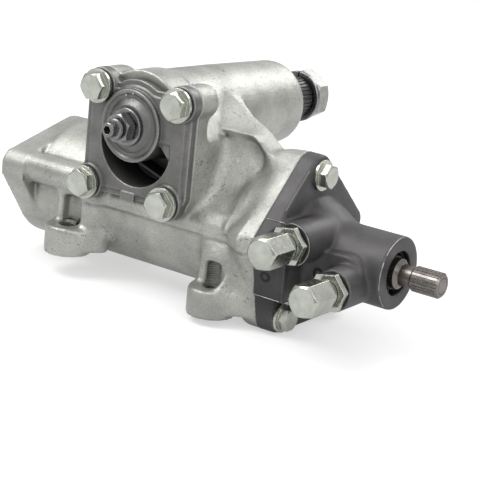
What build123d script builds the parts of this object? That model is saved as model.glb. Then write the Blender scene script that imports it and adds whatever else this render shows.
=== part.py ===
from build123d import *
from math import acos, atan2, cos, pi, radians, sin, sqrt, tan
import os

# Power steering gearbox: a recirculating-ball worm drives a rack piston, whose rack turns
# a toothed sector shaft. A rotary valve on the input end feeds oil to either side of the piston.
# Sizes are in millimetres. While it is built, X is the worm axis and points at the input shaft,
# Y points along the sector shaft at its output end, and Z points up from the mounting feet.

# Shaft layout
shaft_height = 63.0
output_reference_y = 115.0

# Fits and clearances
running_clearance = 0.05
piston_clearance = 0.04
seat_gap = 0.1
gear_backlash = 0.25
ball_clearance = 0.12

# Main casting
barrel_radius = 41.0
barrel_wall = 6.0
barrel_right = 98.0
barrel_left = -92.0
barrel_end_round = 5.0
neck_left = 68.0
neck_radius = 43.5
neck_round = 2.0
bore_end_gap = 1.5
end_plate_left = -110.0
end_plate_thickness = 19.0
end_plate_radius = 37.8
end_plate_drop = 2.4
end_lobe_radius = 14.0
end_lobe_y = -39.0
end_lobe_z = 12.0
ridge_radius = 10.0
ridge_y = -41.0
ridge_z = 15.0
back_lobe_radius = 14.0
back_lobe_y = 14.0
back_lobe_z = 26.5
parting_step = 1.2
parting_height = 8.0

# Gear chamber and sector tube
chamber_front = -46.8
chamber_back = 22.0
chamber_half_width = 46.0
chamber_corner_radius = 9.0
chamber_shoulder_drop = 10.0
chamber_top_radius = 30.5
chamber_wide_front = 0.0
chamber_wide_x = 40.0
chamber_wide_drop = 13.0
chamber_wide_radius = 14.0
collar_radius = 34.3
collar_back = -25.0
tube_root_radius = 33.0
tube_middle_radius = 31.4
tube_middle_y = 30.0
tube_end_radius = 28.8
tube_end = 99.5
tube_edge_round = 3.0
swing_pockets = [(41.0, -7.0), (35.6, -4.4), (29.3, 9.0)]
swing_pocket_gap = 2.0
opening_radius = 34.5
opening_x = 2.0
opening_drop = 11.3

# Web between the sector tube and the valve flange
web_front = -15.0
web_back = 8.0
web_left_x = 10.0
web_low_z = 20.0
web_notch_x = 40.0
web_corner_x = 65.3
web_rise = 3.0
web_right_x = 80.0
web_shoulder_drop = 17.0
web_rim = 3.0
web_pocket_depth = 13.0
pocket_floor_radius = 38.2
pocket_floor_z = 19.0

# Pad that the valve housing bolts to
pad_straight = 10.0
pad_flare = 13.0
pad_flare_angle = 32.0

# Mounting feet: each post is (left, right, top) and each wing is (x, y, radius)
foot_y = 45.0
foot_radius = 15.5
foot_hole_radius = 5.1
foot_relief_radius = 6.0
foot_wing_lift = 3.0
foot_post_front = 46.5
foot_post_corner = 3.0
foot_left_x = -54.0
foot_left_z = -34.0
foot_left_thread = 19.0
foot_left_relief = 5.0
foot_left_post = (-66.0, -31.0, 8.0)
foot_left_wing = (-31.5, 38.0, 6.0)
foot_right_x = 66.0
foot_right_z = -44.0
foot_right_thread = 18.0
foot_right_relief = 15.0
foot_right_post = (53.0, 79.0, -8.0)
foot_right_wing = (89.0, 38.0, 8.0)
foot_window_x = -52.0
foot_window_width = 15.0
foot_window_height = 19.0
foot_window_corner = 3.5
foot_window_wall = 3.5

# Side cover
gasket_thickness = 0.8
cover_plate = 6.4
cover_panel_step = 1.2
cover_edge_band = 4.0
cover_left = -38.0
cover_right = 44.6
cover_drop = 47.5
cover_rise = 25.0
cover_pad_radius = 11.5
cover_pad_height = 1.2
cover_bolt_offsets = [(-27.1, 20.7), (36.2, 20.2), (-32.6, -42.8), (30.7, -43.3)]
cover_bolt_turns = [8.0, 24.0, 40.0, 14.0]
hub_radius = 23.0
hub_front = -57.0
hub_nose_radius = 15.0
hub_nose_front = -59.2
crescent_radius = 27.5
crescent_top_drop = 6.5
crescent_x = 3.0
crescent_drop = 11.0
crescent_floor = -27.0
cover_spigot_back = -22.0
cover_rib_thickness = 2.0
cover_rib_length = 36.0
cover_rib_front = -38.0
cover_rib_angle = -18.5
cover_rib_x = 8.0
cover_rib_drop = 31.5
cover_tab_width = 11.0
cover_tab_height = 6.0

# Threaded fasteners
bolt_radius = 5.0
bolt_hole_radius = 5.3
bolt_hex = 16.0
bolt_flange_radius = 10.8
bolt_flange_height = 1.8
bolt_hex_height = 6.0
bolt_grip = 23.5
cover_hole_depth = 13.5
cover_boss_depth = 17.8
washer_thickness = 2.2
washer_radius = 9.6

# Backlash adjuster
adjuster_radius = 6.0
adjuster_tip = -78.6
adjuster_tip_radius = 4.7
adjuster_tip_length = 5.0
adjuster_socket = 5.0
adjuster_socket_depth = 6.0
adjuster_head_radius = 8.0
adjuster_head_back = -36.0
adjuster_head_front = -40.0
adjuster_retainer_front = -42.4
adjuster_washer_radius = 12.0
adjuster_washer_thickness = 2.5
lock_nut_hex = 17.0
lock_nut_height = 8.0

# Sector shaft
sector_face_width = 34.0
sector_front_journal_radius = 13.0
sector_front_end = -43.0
sector_hub_radius = 22.0
sector_journal_radius = 17.0
serration_start = 100.0
serration_end = 130.0
serration_radius = 14.8
serration_count = 32
serration_depth = 0.9
serration_width = 1.5
thread_radius = 11.0
thread_end = 150.0
lock_washer_radius = 18.2
lock_washer_thickness = 3.6
pitman_nut_hex = 32.5
pitman_nut_height = 14.0

# Sector bearings and seals
bearing_shell = 4.5
inner_bearing_y = 24.0
outer_bearing_y = 62.0
bearing_width = 22.0
cover_bearing_shell = 3.0
cover_bearing_width = 20.0
sector_seal_y = 85.0
sector_seal_width = 7.0
sector_ring_y = 93.0
sector_ring_thickness = 1.8
dust_seal_y = 95.4
dust_seal_width = 3.6

# Rack and sector teeth
tooth_module = 6.5
pressure_angle = 25.0
addendum_factor = 0.8
dedendum_factor = 1.0
rack_flat_half_length = 52.0
piston_travel = 22.5

# Rack piston
piston_left = -66.0
piston_right = 60.0
piston_ring_x = -63.0
piston_ring_width = 3.0
piston_ring_depth = 2.6
piston_bore_end = -58.0
piston_plug_radius = 18.0
piston_mouth_depth = 4.0
guide_flat_z = -21.2
guide_flat_left = -16.0
guide_flat_right = 34.0

# Ball screw
ball_radius = 4.0
ball_circle_radius = 13.5
screw_lead = 12.0
ball_turns = 1.5
ball_start_x = 0.0
worm_radius = 12.3
nut_radius = 14.6
worm_left = -33.0
groove_left = -30.0
groove_right = 48.0
groove_overrun = 2.0
guide_tube_radius = 5.6
guide_leg_top = -9.8
guide_bridge_z = -27.0
guide_bend_radius = 5.8
guide_clamp_thickness = 1.5
guide_screw_radius = 2.0
guide_screw_reach = 16.6
guide_strap_reach = 12.5
guide_foot_reach = 20.5
guide_strap_half_width = 4.0
guide_screw_depth = 3.2

# Worm support and torsion bar
bearing_nut_left = 88.0
bearing_nut_width = 5.0
thrust_bearing_width = 3.0
worm_collar_radius = 21.0
worm_collar_width = 4.0
worm_nose_radius = 12.0
worm_nose_end = 110.0
spigot_bore_radius = 24.0
thrust_ring_radius = 22.0
torsion_bar_radius = 3.2
torsion_bar_left = 74.0
torsion_bar_right = 188.0
torsion_head_radius = 4.4

# Valve sleeve and input shaft
sleeve_radius = 17.5
sleeve_left = 105.0
sleeve_right = 139.0
sleeve_groove_count = 3
sleeve_groove_width = 4.6
sleeve_groove_depth = 1.6
sleeve_ring_width = 2.0
spool_radius = 10.5
spool_left = 112.0
spool_slot_count = 6
spool_slot_width = 3.6
spool_slot_depth = 1.4
input_journal_radius = 9.5
input_bearing_radius = 14.0
input_bearing_left = 141.0
input_bearing_width = 14.0
input_seal_left = 157.0
input_seal_width = 6.0
input_ring_left = 164.4
input_ring_width = 1.8
ring_eye_radius = 1.7
ring_eye_hole = 0.7
ring_eye_y = 4.2
ring_eye_rise = 2.2
dust_ring_left = 167.0
dust_ring_width = 4.0
dust_ring_height = 1.0
input_neck_radius = 6.9
input_neck_start = 173.0
spline_start = 182.0
input_end = 200.0
spline_radius = 8.0
spline_count = 24
spline_groove_width = 0.42
spline_groove_depth = 0.6
input_face_disc_radius = 5.2

# Valve housing
flange_thickness = 12.0
flange_top_lobe_radius = 12.5
flange_low_lobe_radius = 11.0
flange_side_y = 47.0
flange_side_z = 11.0
flange_side_radius = 7.0
valve_bolt_circle = 48.5
valve_bolt_angles = [93.0, 230.5, 309.5]
valve_bolt_turns = [12.0, 33.0, 5.0]
valve_bolt_hex = 14.0
valve_bolt_flange_radius = 9.8
valve_bolt_grip = 30.0
top_lobe_back = 79.5
dome_radius = 31.0
dome_end = 118.0
snout_radius = 23.0
snout_start = 131.0
snout_end = 170.0
snout_mouth_radius = 14.8
port_block_right = 119.0
port_block_front = -48.0
port_block_top = 25.0
port_block_bottom = -24.0
port_block_slant_z = 12.0
port_block_slant_y = -43.0
port_boss_radius = 13.0
port_hole_radius = 7.0
port_one_x = 120.0
port_one_z = 14.0
port_one_seat = -45.5
port_two_x = 150.0
port_two_z = -7.5
port_two_seat = -43.0
port_hole_depth = 16.0
cheek_front = -27.0
cheek_z = -8.0
cheek_radius = 16.0
cheek_tip_radius = 13.0
cheek_overlap = 6.0
core_mark_radius = 3.2
core_mark_width = 1.1
core_mark_depth = 0.6
block_mark = (106.5, -9.0)
cheek_mark = (129.5, -5.0)

# Port plugs
plug_flange_hex = 22.0
plug_flange_height = 4.5
plug_washer_radius = 10.4
plug_washer_thickness = 1.5
plug_neck_radius = 8.0
plug_neck_length = 5.0
plug_hex = 18.6
plug_length = 31.0
plug_bevel = 2.0

# Sizes that follow from the ones above
bore_radius = barrel_radius - barrel_wall
bore_left = piston_left - piston_travel - bore_end_gap
piston_radius = bore_radius - piston_clearance
gasket_front = chamber_front - gasket_thickness
cover_front = gasket_front - cover_plate
tube_bore_radius = sector_journal_radius + bearing_shell
chamber_shoulder_z = shaft_height - chamber_shoulder_drop
chamber_wide_z = shaft_height - chamber_wide_drop
opening_z = shaft_height - opening_drop
web_top_z = shaft_height + web_rise
web_shoulder_z = shaft_height - web_shoulder_drop
cover_bottom = shaft_height - cover_drop
cover_top = shaft_height + cover_rise
cover_bolt_xz = [(x, shaft_height + rise) for x, rise in cover_bolt_offsets]
crescent_top = shaft_height - crescent_top_drop
crescent_z = shaft_height - crescent_drop
cover_rib_z = shaft_height - cover_rib_drop
flange_right = barrel_right + flange_thickness
rack_addendum = addendum_factor * tooth_module
rack_dedendum = dedendum_factor * tooth_module
rack_pitch_z = bore_radius - 1.5 - rack_addendum
pitch_radius = shaft_height - rack_pitch_z
rack_pitch = pi * tooth_module
tooth_angle = rack_pitch / pitch_radius
groove_radius = ball_radius + ball_clearance
lock_washer_y = serration_end + 1.5
pitman_nut_y = lock_washer_y + lock_washer_thickness


def x_rod(start, end, radius, y=0.0, z=0.0):
    """A round bar along X between two stations."""
    bar = Cylinder(radius, end - start)
    return Pos((start + end) / 2, y, z) * Rot(0, 90, 0) * bar


def y_rod(start, end, radius, x=0.0, z=shaft_height):
    """A round bar along Y between two stations."""
    bar = Cylinder(radius, end - start)
    return Pos(x, (start + end) / 2, z) * Rot(90, 0, 0) * bar


def z_rod(start, end, radius, x=0.0, y=0.0):
    """A round bar along Z between two heights."""
    return Pos(x, y, (start + end) / 2) * Cylinder(radius, end - start)


def block(low, high):
    """A box between two corners."""
    size = [b - a for a, b in zip(low, high)]
    middle = [(a + b) / 2 for a, b in zip(low, high)]
    return Pos(*middle) * Box(*size)


def x_plate(sketch, start, end):
    """A sketch of (y, z) points extruded along X."""
    return extrude(Plane.YZ.offset(start) * sketch, end - start)


def y_plate(sketch, start, end):
    """A sketch of (x, z) points extruded along Y."""
    return extrude(Plane.XZ.offset(-end) * sketch, end - start)


def z_plate(sketch, start, end):
    """A sketch of (x, y) points extruded along Z."""
    return extrude(Plane.XY.offset(start) * sketch, end - start)


def turned_x(steps):
    """A turned shape about the X axis from (x, radius) points."""
    outline = [(steps[0][0], 0.0)] + steps + [(steps[-1][0], 0.0)]
    return revolve(Plane.XY * make_face(Polyline(*outline, close=True)), Axis.X)


def turned_y(steps):
    """A turned shape about the sector shaft's axis from (y, radius) points."""
    outline = [(0.0, steps[0][0])] + [(r, y) for y, r in steps] + [(0.0, steps[-1][0])]
    shape = revolve(Plane.XY * make_face(Polyline(*outline, close=True)), Axis.Y)
    return Pos(0, 0, shaft_height) * shape


def x_ring(start, width, inner, outer):
    """A plain ring about the worm axis."""
    return x_rod(start, start + width, outer) - x_rod(start - 1, start + width + 1, inner)


def y_ring(start, width, inner, outer):
    """A plain ring about the sector axis."""
    return y_rod(start, start + width, outer) - y_rod(start - 1, start + width + 1, inner)


def disc(radius, x, z):
    """A round sketch at a place in the sketch plane."""
    return Pos(x, z) * Circle(radius)


def closed_corners(sketch, radius):
    """The sketch with its inside corners rounded."""
    return offset(offset(sketch, radius), -radius)


def hull_of(discs):
    """The taut outline round several (x, z, radius) discs."""
    return make_hull([edge for x, z, r in discs for edge in disc(r, x, z).edges()])


def valve_bolt_places():
    """Where the valve housing's bolts stand, as (y, z)."""
    places = []
    for angle in valve_bolt_angles:
        turn = radians(angle)
        places.append((valve_bolt_circle * cos(turn), valve_bolt_circle * sin(turn)))
    return places


def flange_outline():
    """The valve flange: a lobe round each bolt, and a blunt corner each side."""
    top, low_left, low_right = valve_bolt_places()
    lobes = [
        (top[0], top[1], flange_top_lobe_radius),
        (low_left[0], low_left[1], flange_low_lobe_radius),
        (low_right[0], low_right[1], flange_low_lobe_radius),
        (-flange_side_y, flange_side_z, flange_side_radius),
        (flange_side_y, flange_side_z, flange_side_radius),
    ]
    return hull_of(lobes)


def cover_outline():
    """The side cover: a rounded panel with a pad at each bolt and a bulge over the hub."""
    width = cover_right - cover_left
    height = cover_top - cover_bottom
    panel = Pos((cover_left + cover_right) / 2, (cover_bottom + cover_top) / 2)
    outline = panel * RectangleRounded(width, height, cover_pad_radius - 1)
    for x, z in cover_bolt_xz:
        outline += disc(cover_pad_radius, x, z)
    outline += disc(hub_radius + 6, 1, shaft_height)
    notch = Pos((cover_left + cover_right) / 2 - 12, cover_top) * Rectangle(26, 3)
    return closed_corners(outline - notch, 4)


def involute_flank(base_radius, start_angle, tip_radius, side):
    """Points on one tooth flank, from the base circle to the tip, about the sector axis."""
    points = []
    steps = 4
    roll_end = sqrt((tip_radius / base_radius) ** 2 - 1)
    for step in range(steps + 1):
        roll = roll_end * step / steps
        radius = base_radius * sqrt(1 + roll * roll)
        turn = side * (start_angle - (roll - acos(1 / sqrt(1 + roll * roll))))
        points.append((radius * sin(turn), -radius * cos(turn)))
    return points


def sector_tooth():
    """One involute tooth that points down, drawn from the sector axis."""
    flank_angle = radians(pressure_angle)
    base_radius = pitch_radius * cos(flank_angle)
    tip_radius = pitch_radius + rack_addendum
    root_radius = pitch_radius - rack_dedendum
    thickness = rack_pitch / 2 - gear_backlash
    base_angle = thickness / (2 * pitch_radius) + tan(flank_angle) - flank_angle
    right = involute_flank(base_radius, base_angle, tip_radius, 1)
    left = involute_flank(base_radius, base_angle, tip_radius, -1)
    foot = root_radius - 2
    foot_right = (foot * sin(base_angle * 1.25), -foot * cos(base_angle * 1.25))
    foot_left = (-foot_right[0], foot_right[1])
    edges = [
        Line(foot_right, right[0]),
        Spline(*right),
        ThreePointArc(right[-1], (0, -tip_radius), left[-1]),
        Spline(*reversed(left)),
        Line(left[0], foot_left),
        Line(foot_left, foot_right),
    ]
    return make_face(Wire(edges))


def ball_place(turn):
    """A point on the ball path, where turn counts turns from the path's start."""
    angle = 2 * pi * turn
    x = ball_start_x + screw_lead * turn
    return Vector(x, ball_circle_radius * cos(angle), ball_circle_radius * sin(angle))


def screw_groove(start_x, end_x, radius):
    """The round groove that the balls run in, as a solid to cut with."""
    length = end_x - start_x
    path = Helix(screw_lead, length, ball_circle_radius)
    turn = 360 * (start_x - ball_start_x) / screw_lead
    start = path @ 0
    section = Plane(origin=start, z_dir=path % 0) * Circle(radius)
    groove = sweep(section, path=path, is_frenet=True)
    return Pos(start_x, 0, 0) * Rot(turn, 0, 0) * Rot(0, 90, 0) * Rot(0, 0, 90) * groove


def foot_places():
    """The four feet as (x, y, pad height, thread length, relief above it), front pair first."""
    places = []
    for y in (-foot_y, foot_y):
        places.append((foot_left_x, y, foot_left_z, foot_left_thread, foot_left_relief))
        places.append((foot_right_x, y, foot_right_z, foot_right_thread, foot_right_relief))
    return places


def housing_barrel():
    """The cylinder that holds the piston, with its neck, its end plate and the ridge beside it."""
    lower = x_rod(barrel_left, barrel_right, barrel_radius - parting_step)
    upper = x_rod(barrel_left, barrel_right, barrel_radius)
    upper = fillet(upper.edges().group_by(Axis.X)[0], barrel_end_round)
    lower = fillet(lower.edges().group_by(Axis.X)[0], barrel_end_round)
    above = block((barrel_left - 1, -60, parting_height), (barrel_right + 1, 60, 60))
    neck = x_rod(neck_left, barrel_right, neck_radius)
    neck = fillet(neck.edges().group_by(Axis.X)[0], neck_round)
    barrel = lower + (upper & above) + (neck & above)
    plate = hull_of([
        (0, -end_plate_drop, end_plate_radius),
        (end_lobe_y, end_lobe_z, end_lobe_radius),
        (back_lobe_y, back_lobe_z, back_lobe_radius),
    ])
    barrel += x_plate(plate, end_plate_left, end_plate_left + end_plate_thickness)
    start = end_plate_left + end_plate_thickness - 1
    end = cover_bolt_xz[2][0] - cover_pad_radius - 1
    barrel += x_rod(start, end, ridge_radius, ridge_y, ridge_z)
    return barrel


def housing_chamber():
    """The gear chamber with the collar behind the cover and the tapering sector tube."""
    corner = chamber_corner_radius
    side = chamber_half_width - corner
    outline = hull_of([
        (0, shaft_height, chamber_top_radius),
        (side, chamber_shoulder_z, corner),
        (-side, chamber_shoulder_z, corner),
        (side, parting_height + corner, corner),
        (-side, parting_height + corner, corner),
    ])
    chamber = y_plate(outline, chamber_front + 8, chamber_back)
    wide = hull_of([
        (0, shaft_height, chamber_top_radius),
        (chamber_wide_x, chamber_wide_z, chamber_wide_radius),
        (chamber_wide_x, 20, chamber_wide_radius),
        (0, 20, chamber_wide_radius),
    ])
    chamber += y_plate(wide, chamber_wide_front, chamber_back)
    chamber += y_plate(cover_outline(), chamber_front, chamber_front + 13)
    chamber += y_rod(chamber_front, collar_back, collar_radius)
    for x, z in cover_bolt_xz:
        chamber += y_rod(chamber_front, chamber_front + cover_boss_depth, cover_pad_radius - 0.3, x, z)
    tube = turned_y([
        (chamber_front + 8, tube_root_radius),
        (tube_middle_y, tube_middle_radius),
        (tube_end, tube_end_radius),
    ])
    rim = [edge for edge in tube.edges().group_by(Axis.Y)[-1]]
    return chamber + fillet(rim, tube_edge_round)


def web_section(start, notch):
    """The web seen from the front, from its top edge down to the barrel."""
    right = barrel_right - 8
    return make_face(Polyline(
        (web_left_x, web_low_z), start, notch, (web_corner_x, web_top_z),
        (web_right_x - 2.5, web_top_z - 10.5), (web_right_x, web_shoulder_z),
        (right, web_shoulder_z - 6), (right, web_low_z), close=True,
    ))


def web_tangent():
    """Where the web's rear edge leaves the sector tube."""
    reach = sqrt(web_corner_x ** 2 + web_rise ** 2)
    angle = atan2(web_rise, web_corner_x) + acos(tube_middle_radius / reach)
    return (tube_middle_radius * cos(angle), shaft_height + tube_middle_radius * sin(angle))


def housing_web():
    """The web that ties the sector tube to the valve flange, with a pocket in its front."""
    left, top = web_tangent()
    front = web_section((web_left_x, web_top_z + 6), (web_notch_x, web_top_z - 1))
    back = web_section((left, top), ((left + web_corner_x) / 2, (top + web_top_z) / 2))
    sections = [Plane.XZ.offset(-web_front) * front, Plane.XZ.offset(-web_back) * back]
    web = loft(sections, ruled=True)
    pocket = Polyline(
        (web_notch_x, web_low_z + 4), (web_notch_x, web_top_z - web_rim - 1),
        (web_corner_x - 1, web_top_z - web_rim), (web_right_x - 5.5, web_top_z - 13.5),
        (web_right_x - 6, web_shoulder_z), (web_right_x - 14, web_low_z + 8), close=True,
    )
    pocket = fillet(make_face(pocket).vertices(), 4)
    return web - y_plate(pocket, web_front - 1, web_front + web_pocket_depth)


def web_pocket_floor():
    """The shallow hollow that carries the web's pocket on down to the barrel's shoulder."""
    start = chamber_half_width + 1
    ring = x_ring(start, neck_left - start, pocket_floor_radius, barrel_radius + 10)
    back = web_front + web_pocket_depth
    return ring & block((0, -60, pocket_floor_z), (100, back, 60))


def housing_valve_flange():
    """The pad that the valve housing bolts to, with a long boss behind its top bolt."""
    middle = barrel_right - pad_straight
    pad = x_plate(flange_outline(), middle, barrel_right)
    flare = extrude(Plane.YZ.offset(middle) * flange_outline(), -pad_flare, taper=pad_flare_angle)
    top = valve_bolt_places()[0]
    boss = x_rod(top_lobe_back, barrel_right, flange_top_lobe_radius, top[0], top[1])
    neck = block((top_lobe_back, top[0] - 11, 20), (barrel_right, top[0] + 11, top[1]))
    return pad + flare + boss + neck


def housing_feet():
    """Four bosses with pads underneath, each tied to the barrel by a post and a wing."""
    feet = None
    for x, y, pad, thread, _ in foot_places():
        side = 1 if y > 0 else -1
        rim = pad + thread
        boss = z_rod(pad, rim, foot_radius, x, y)
        inner = block((x - foot_radius, min(0, y), pad + 6), (x + foot_radius, max(0, y), rim))
        wing_x, wing_y, wing_radius = foot_left_wing if x < 0 else foot_right_wing
        wing = hull_of([(x, y, foot_radius - 1), (wing_x, side * wing_y, wing_radius)])
        wing = z_plate(wing, pad + foot_wing_lift, rim - 0.5)
        left, right, top = foot_left_post if x < 0 else foot_right_post
        low, high = sorted((side * bore_radius * 0.4, side * foot_post_front))
        post = block((left, low, rim - 1), (right, high, top))
        outer = post.faces().sort_by(Axis.Y)[0 if side < 0 else -1]
        upright = [edge for edge in outer.edges() if abs((edge % 0.5).Z) > 0.9]
        post = fillet(upright, foot_post_corner)
        foot = boss + inner + wing + post
        feet = foot if feet is None else feet + foot
    return feet


def foot_window(side):
    """The cast window above a left foot, open to the front or the back."""
    low = foot_left_z + foot_left_thread
    window = RectangleRounded(foot_window_width, foot_window_height, foot_window_corner)
    window = Pos(foot_window_x, low + foot_window_height / 2) * window
    near, far = sorted((side * (bore_radius + foot_window_wall), side * (foot_post_front + 12)))
    return y_plate(window, near, far)


def gear_housing():
    """The light-alloy casting that holds the piston, the sector shaft and the feet."""
    body = housing_barrel() + housing_chamber() + housing_web()
    body += housing_valve_flange()
    body -= web_pocket_floor()
    body += housing_feet()
    body -= x_rod(bore_left, barrel_right + 1, bore_radius)
    body -= y_rod(chamber_front - 1, chamber_back - 3, opening_radius, opening_x, opening_z)
    half = sector_face_width / 2 + swing_pocket_gap
    for radius, rise in swing_pockets:
        body -= y_rod(-half, half, radius) & block((-60, -60, 0), (60, 60, shaft_height + rise))
    body -= y_rod(0, tube_end + 1, tube_bore_radius + seat_gap)
    ring_groove = tube_bore_radius + 1.6
    body -= y_rod(sector_ring_y, sector_ring_y + sector_ring_thickness, ring_groove)
    for x, z in cover_bolt_xz:
        hole_end = chamber_front + cover_hole_depth
        body -= y_rod(chamber_front - 1, hole_end, bolt_radius + seat_gap, x, z)
    hole_start = flange_right - valve_bolt_grip - 2
    for y, z in valve_bolt_places():
        body -= x_rod(hole_start, barrel_right + 1, bolt_radius + seat_gap, y, z)
    for x, y, pad, thread, relief in foot_places():
        rim = pad + thread
        body -= z_rod(pad - 1, rim, foot_hole_radius, x, y)
        body -= z_rod(rim, rim + relief, foot_relief_radius, x, y)
    for side in (-1, 1):
        body -= foot_window(side)
    return body


def cover_rib():
    """The thin rib across the floor of the crescent."""
    size = (cover_rib_length, crescent_floor - cover_rib_front + 1, cover_rib_thickness)
    middle = (crescent_floor + 1 + cover_rib_front) / 2
    rib = Pos(cover_rib_x, middle, cover_rib_z) * Rot(0, -cover_rib_angle, 0) * Box(*size)
    return rib & y_rod(cover_rib_front - 1, 0, crescent_radius + 0.5, crescent_x, crescent_z)


def side_cover():
    """The cast cover with its bearing hub, the deep crescent under it and four bolt pads."""
    outline = cover_outline()
    cover = y_plate(outline, cover_front + cover_panel_step, gasket_front)
    cover += y_plate(offset(outline, -cover_edge_band), cover_front, cover_front + 3)
    for x, z in cover_bolt_xz:
        cover += y_rod(cover_front - cover_pad_height, gasket_front, cover_pad_radius, x, z)
    spigot_radius = opening_radius - seat_gap
    cover += y_rod(gasket_front - 1, cover_spigot_back, spigot_radius, opening_x, opening_z)
    cover += y_rod(hub_front, gasket_front, hub_radius)
    cover -= x_rod(-60, 60, bore_radius + 0.8)
    crescent = y_rod(cover_front - 2, crescent_floor, crescent_radius, crescent_x, crescent_z)
    crescent -= y_rod(cover_front - 3, 0, hub_radius)
    cover -= crescent & block((-60, -80, 0), (60, 0, crescent_top))
    nose_edge = hub_nose_radius + 1
    cover += turned_y([(hub_nose_front, nose_edge - 2.5), (hub_front, nose_edge), (-50, 4)])
    cover -= y_ring(hub_front - 1, 2.2, hub_nose_radius + 1.5, hub_radius - 2.5)
    cover += cover_rib()
    tab_low = cover_bottom - 1.5
    tab_high = (-5 + cover_tab_width, gasket_front, tab_low + cover_tab_height)
    cover += block((-5, cover_front - 1.0, tab_low), tab_high)
    bearing_radius = sector_front_journal_radius + cover_bearing_shell + seat_gap
    cover -= y_rod(cover_spigot_back - cover_bearing_width, 0, bearing_radius)
    cover -= y_rod(-47, 0, sector_front_journal_radius + 1)
    cover -= y_rod(hub_nose_front - 1, 0, adjuster_radius + running_clearance)
    for x, z in cover_bolt_xz:
        cover -= y_rod(cover_front - 5, gasket_front + 1, bolt_hole_radius, x, z)
    return cover


def cover_gasket():
    """The thin sheet between the cover and the housing."""
    sheet = y_plate(offset(cover_outline(), -0.6), gasket_front, chamber_front)
    sheet -= y_rod(gasket_front - 1, chamber_front + 1, opening_radius + 0.3, opening_x, opening_z)
    for x, z in cover_bolt_xz:
        sheet -= y_rod(gasket_front - 1, chamber_front + 1, bolt_hole_radius + 0.3, x, z)
    return sheet


def flange_bolt(hex_size, flange_radius, grip):
    """A flanged bolt: its head stands on z = 0 and its shank hangs below."""
    top = bolt_hex_height + bolt_flange_height
    head = extrude(RegularPolygon(hex_size / 2, 6, major_radius=False), top)
    corner = hex_size / sqrt(3)
    bolt = head & (z_rod(0, top - 1, corner + 1) + Pos(0, 0, top - 0.5) * Cone(corner, hex_size / 2 - 0.6, 1))
    bolt += z_rod(0, bolt_flange_height, flange_radius)
    bolt += z_rod(-grip, 0, bolt_radius)
    return bolt


def cover_bolts():
    """Four flanged bolts, each left at its own angle by the spanner."""
    seat = cover_front - cover_pad_height - washer_thickness
    bolts = []
    for (x, z), turn in zip(cover_bolt_xz, cover_bolt_turns):
        bolt = flange_bolt(bolt_hex, bolt_flange_radius, bolt_grip)
        bolts.append(Pos(x, seat, z) * Rot(90, 0, 0) * Rot(0, 0, turn) * bolt)
    return Compound(bolts)


def cover_washers():
    """A split spring washer under each cover bolt."""
    seat = cover_front - cover_pad_height
    washers = []
    for x, z in cover_bolt_xz:
        ring = y_rod(seat - washer_thickness, seat, washer_radius, x, z)
        ring -= y_rod(seat - 5, seat + 1, bolt_hole_radius, x, z)
        ring -= block((x - 0.5, seat - 5, z), (x + 0.5, seat + 1, z + 12))
        washers.append(ring)
    return Compound(washers)


def hex_nut(size, height, bore_radius):
    """A nut with chamfered corners, standing on z = 0."""
    nut = extrude(RegularPolygon(size / 2, 6, major_radius=False), height)
    corner = size / sqrt(3)
    edge = corner - size / 2
    cone = z_rod(edge, height - edge, corner + 1)
    cone += Pos(0, 0, height - edge / 2) * Cone(corner, size / 2, edge)
    cone += Pos(0, 0, edge / 2) * Cone(size / 2, corner, edge)
    return (nut & cone) - z_rod(-1, height + 1, bore_radius)


def adjuster_screw():
    """The backlash screw: its head turns in the sector shaft and its tip has a hex socket."""
    screw = turned_y([
        (adjuster_tip, adjuster_tip_radius - 0.6),
        (adjuster_tip + 0.6, adjuster_tip_radius),
        (adjuster_tip + adjuster_tip_length, adjuster_tip_radius),
        (adjuster_tip + adjuster_tip_length, adjuster_radius - 0.5),
        (adjuster_tip + adjuster_tip_length + 0.5, adjuster_radius),
        (adjuster_head_front, adjuster_radius),
        (adjuster_head_front, adjuster_head_radius),
        (adjuster_head_back, adjuster_head_radius),
    ])
    socket = Pos(0, shaft_height) * RegularPolygon(adjuster_socket / 2, 6, major_radius=False)
    return screw - y_plate(socket, adjuster_tip - 1, adjuster_tip + adjuster_socket_depth)


def adjuster_washer():
    """The round sealing washer under the lock nut."""
    front = hub_nose_front - adjuster_washer_thickness
    ring = y_rod(front, hub_nose_front, adjuster_washer_radius)
    ring = chamfer(ring.edges().group_by(Axis.Y)[0], 0.5)
    return ring - y_rod(front - 1, hub_nose_front + 1, adjuster_radius + running_clearance)


def adjuster_lock_nut():
    """The nut that locks the backlash screw."""
    nut = hex_nut(lock_nut_hex, lock_nut_height, adjuster_radius + running_clearance)
    seat = hub_nose_front - adjuster_washer_thickness
    return Pos(0, seat, shaft_height) * Rot(90, 0, 0) * Rot(0, 0, 20) * nut


def adjuster_retainer():
    """The ring that keeps the screw's head inside the sector shaft."""
    width = adjuster_head_front - seat_gap - adjuster_retainer_front
    return y_ring(adjuster_retainer_front, width, adjuster_radius + 0.6, adjuster_head_radius + 0.1)


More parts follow.
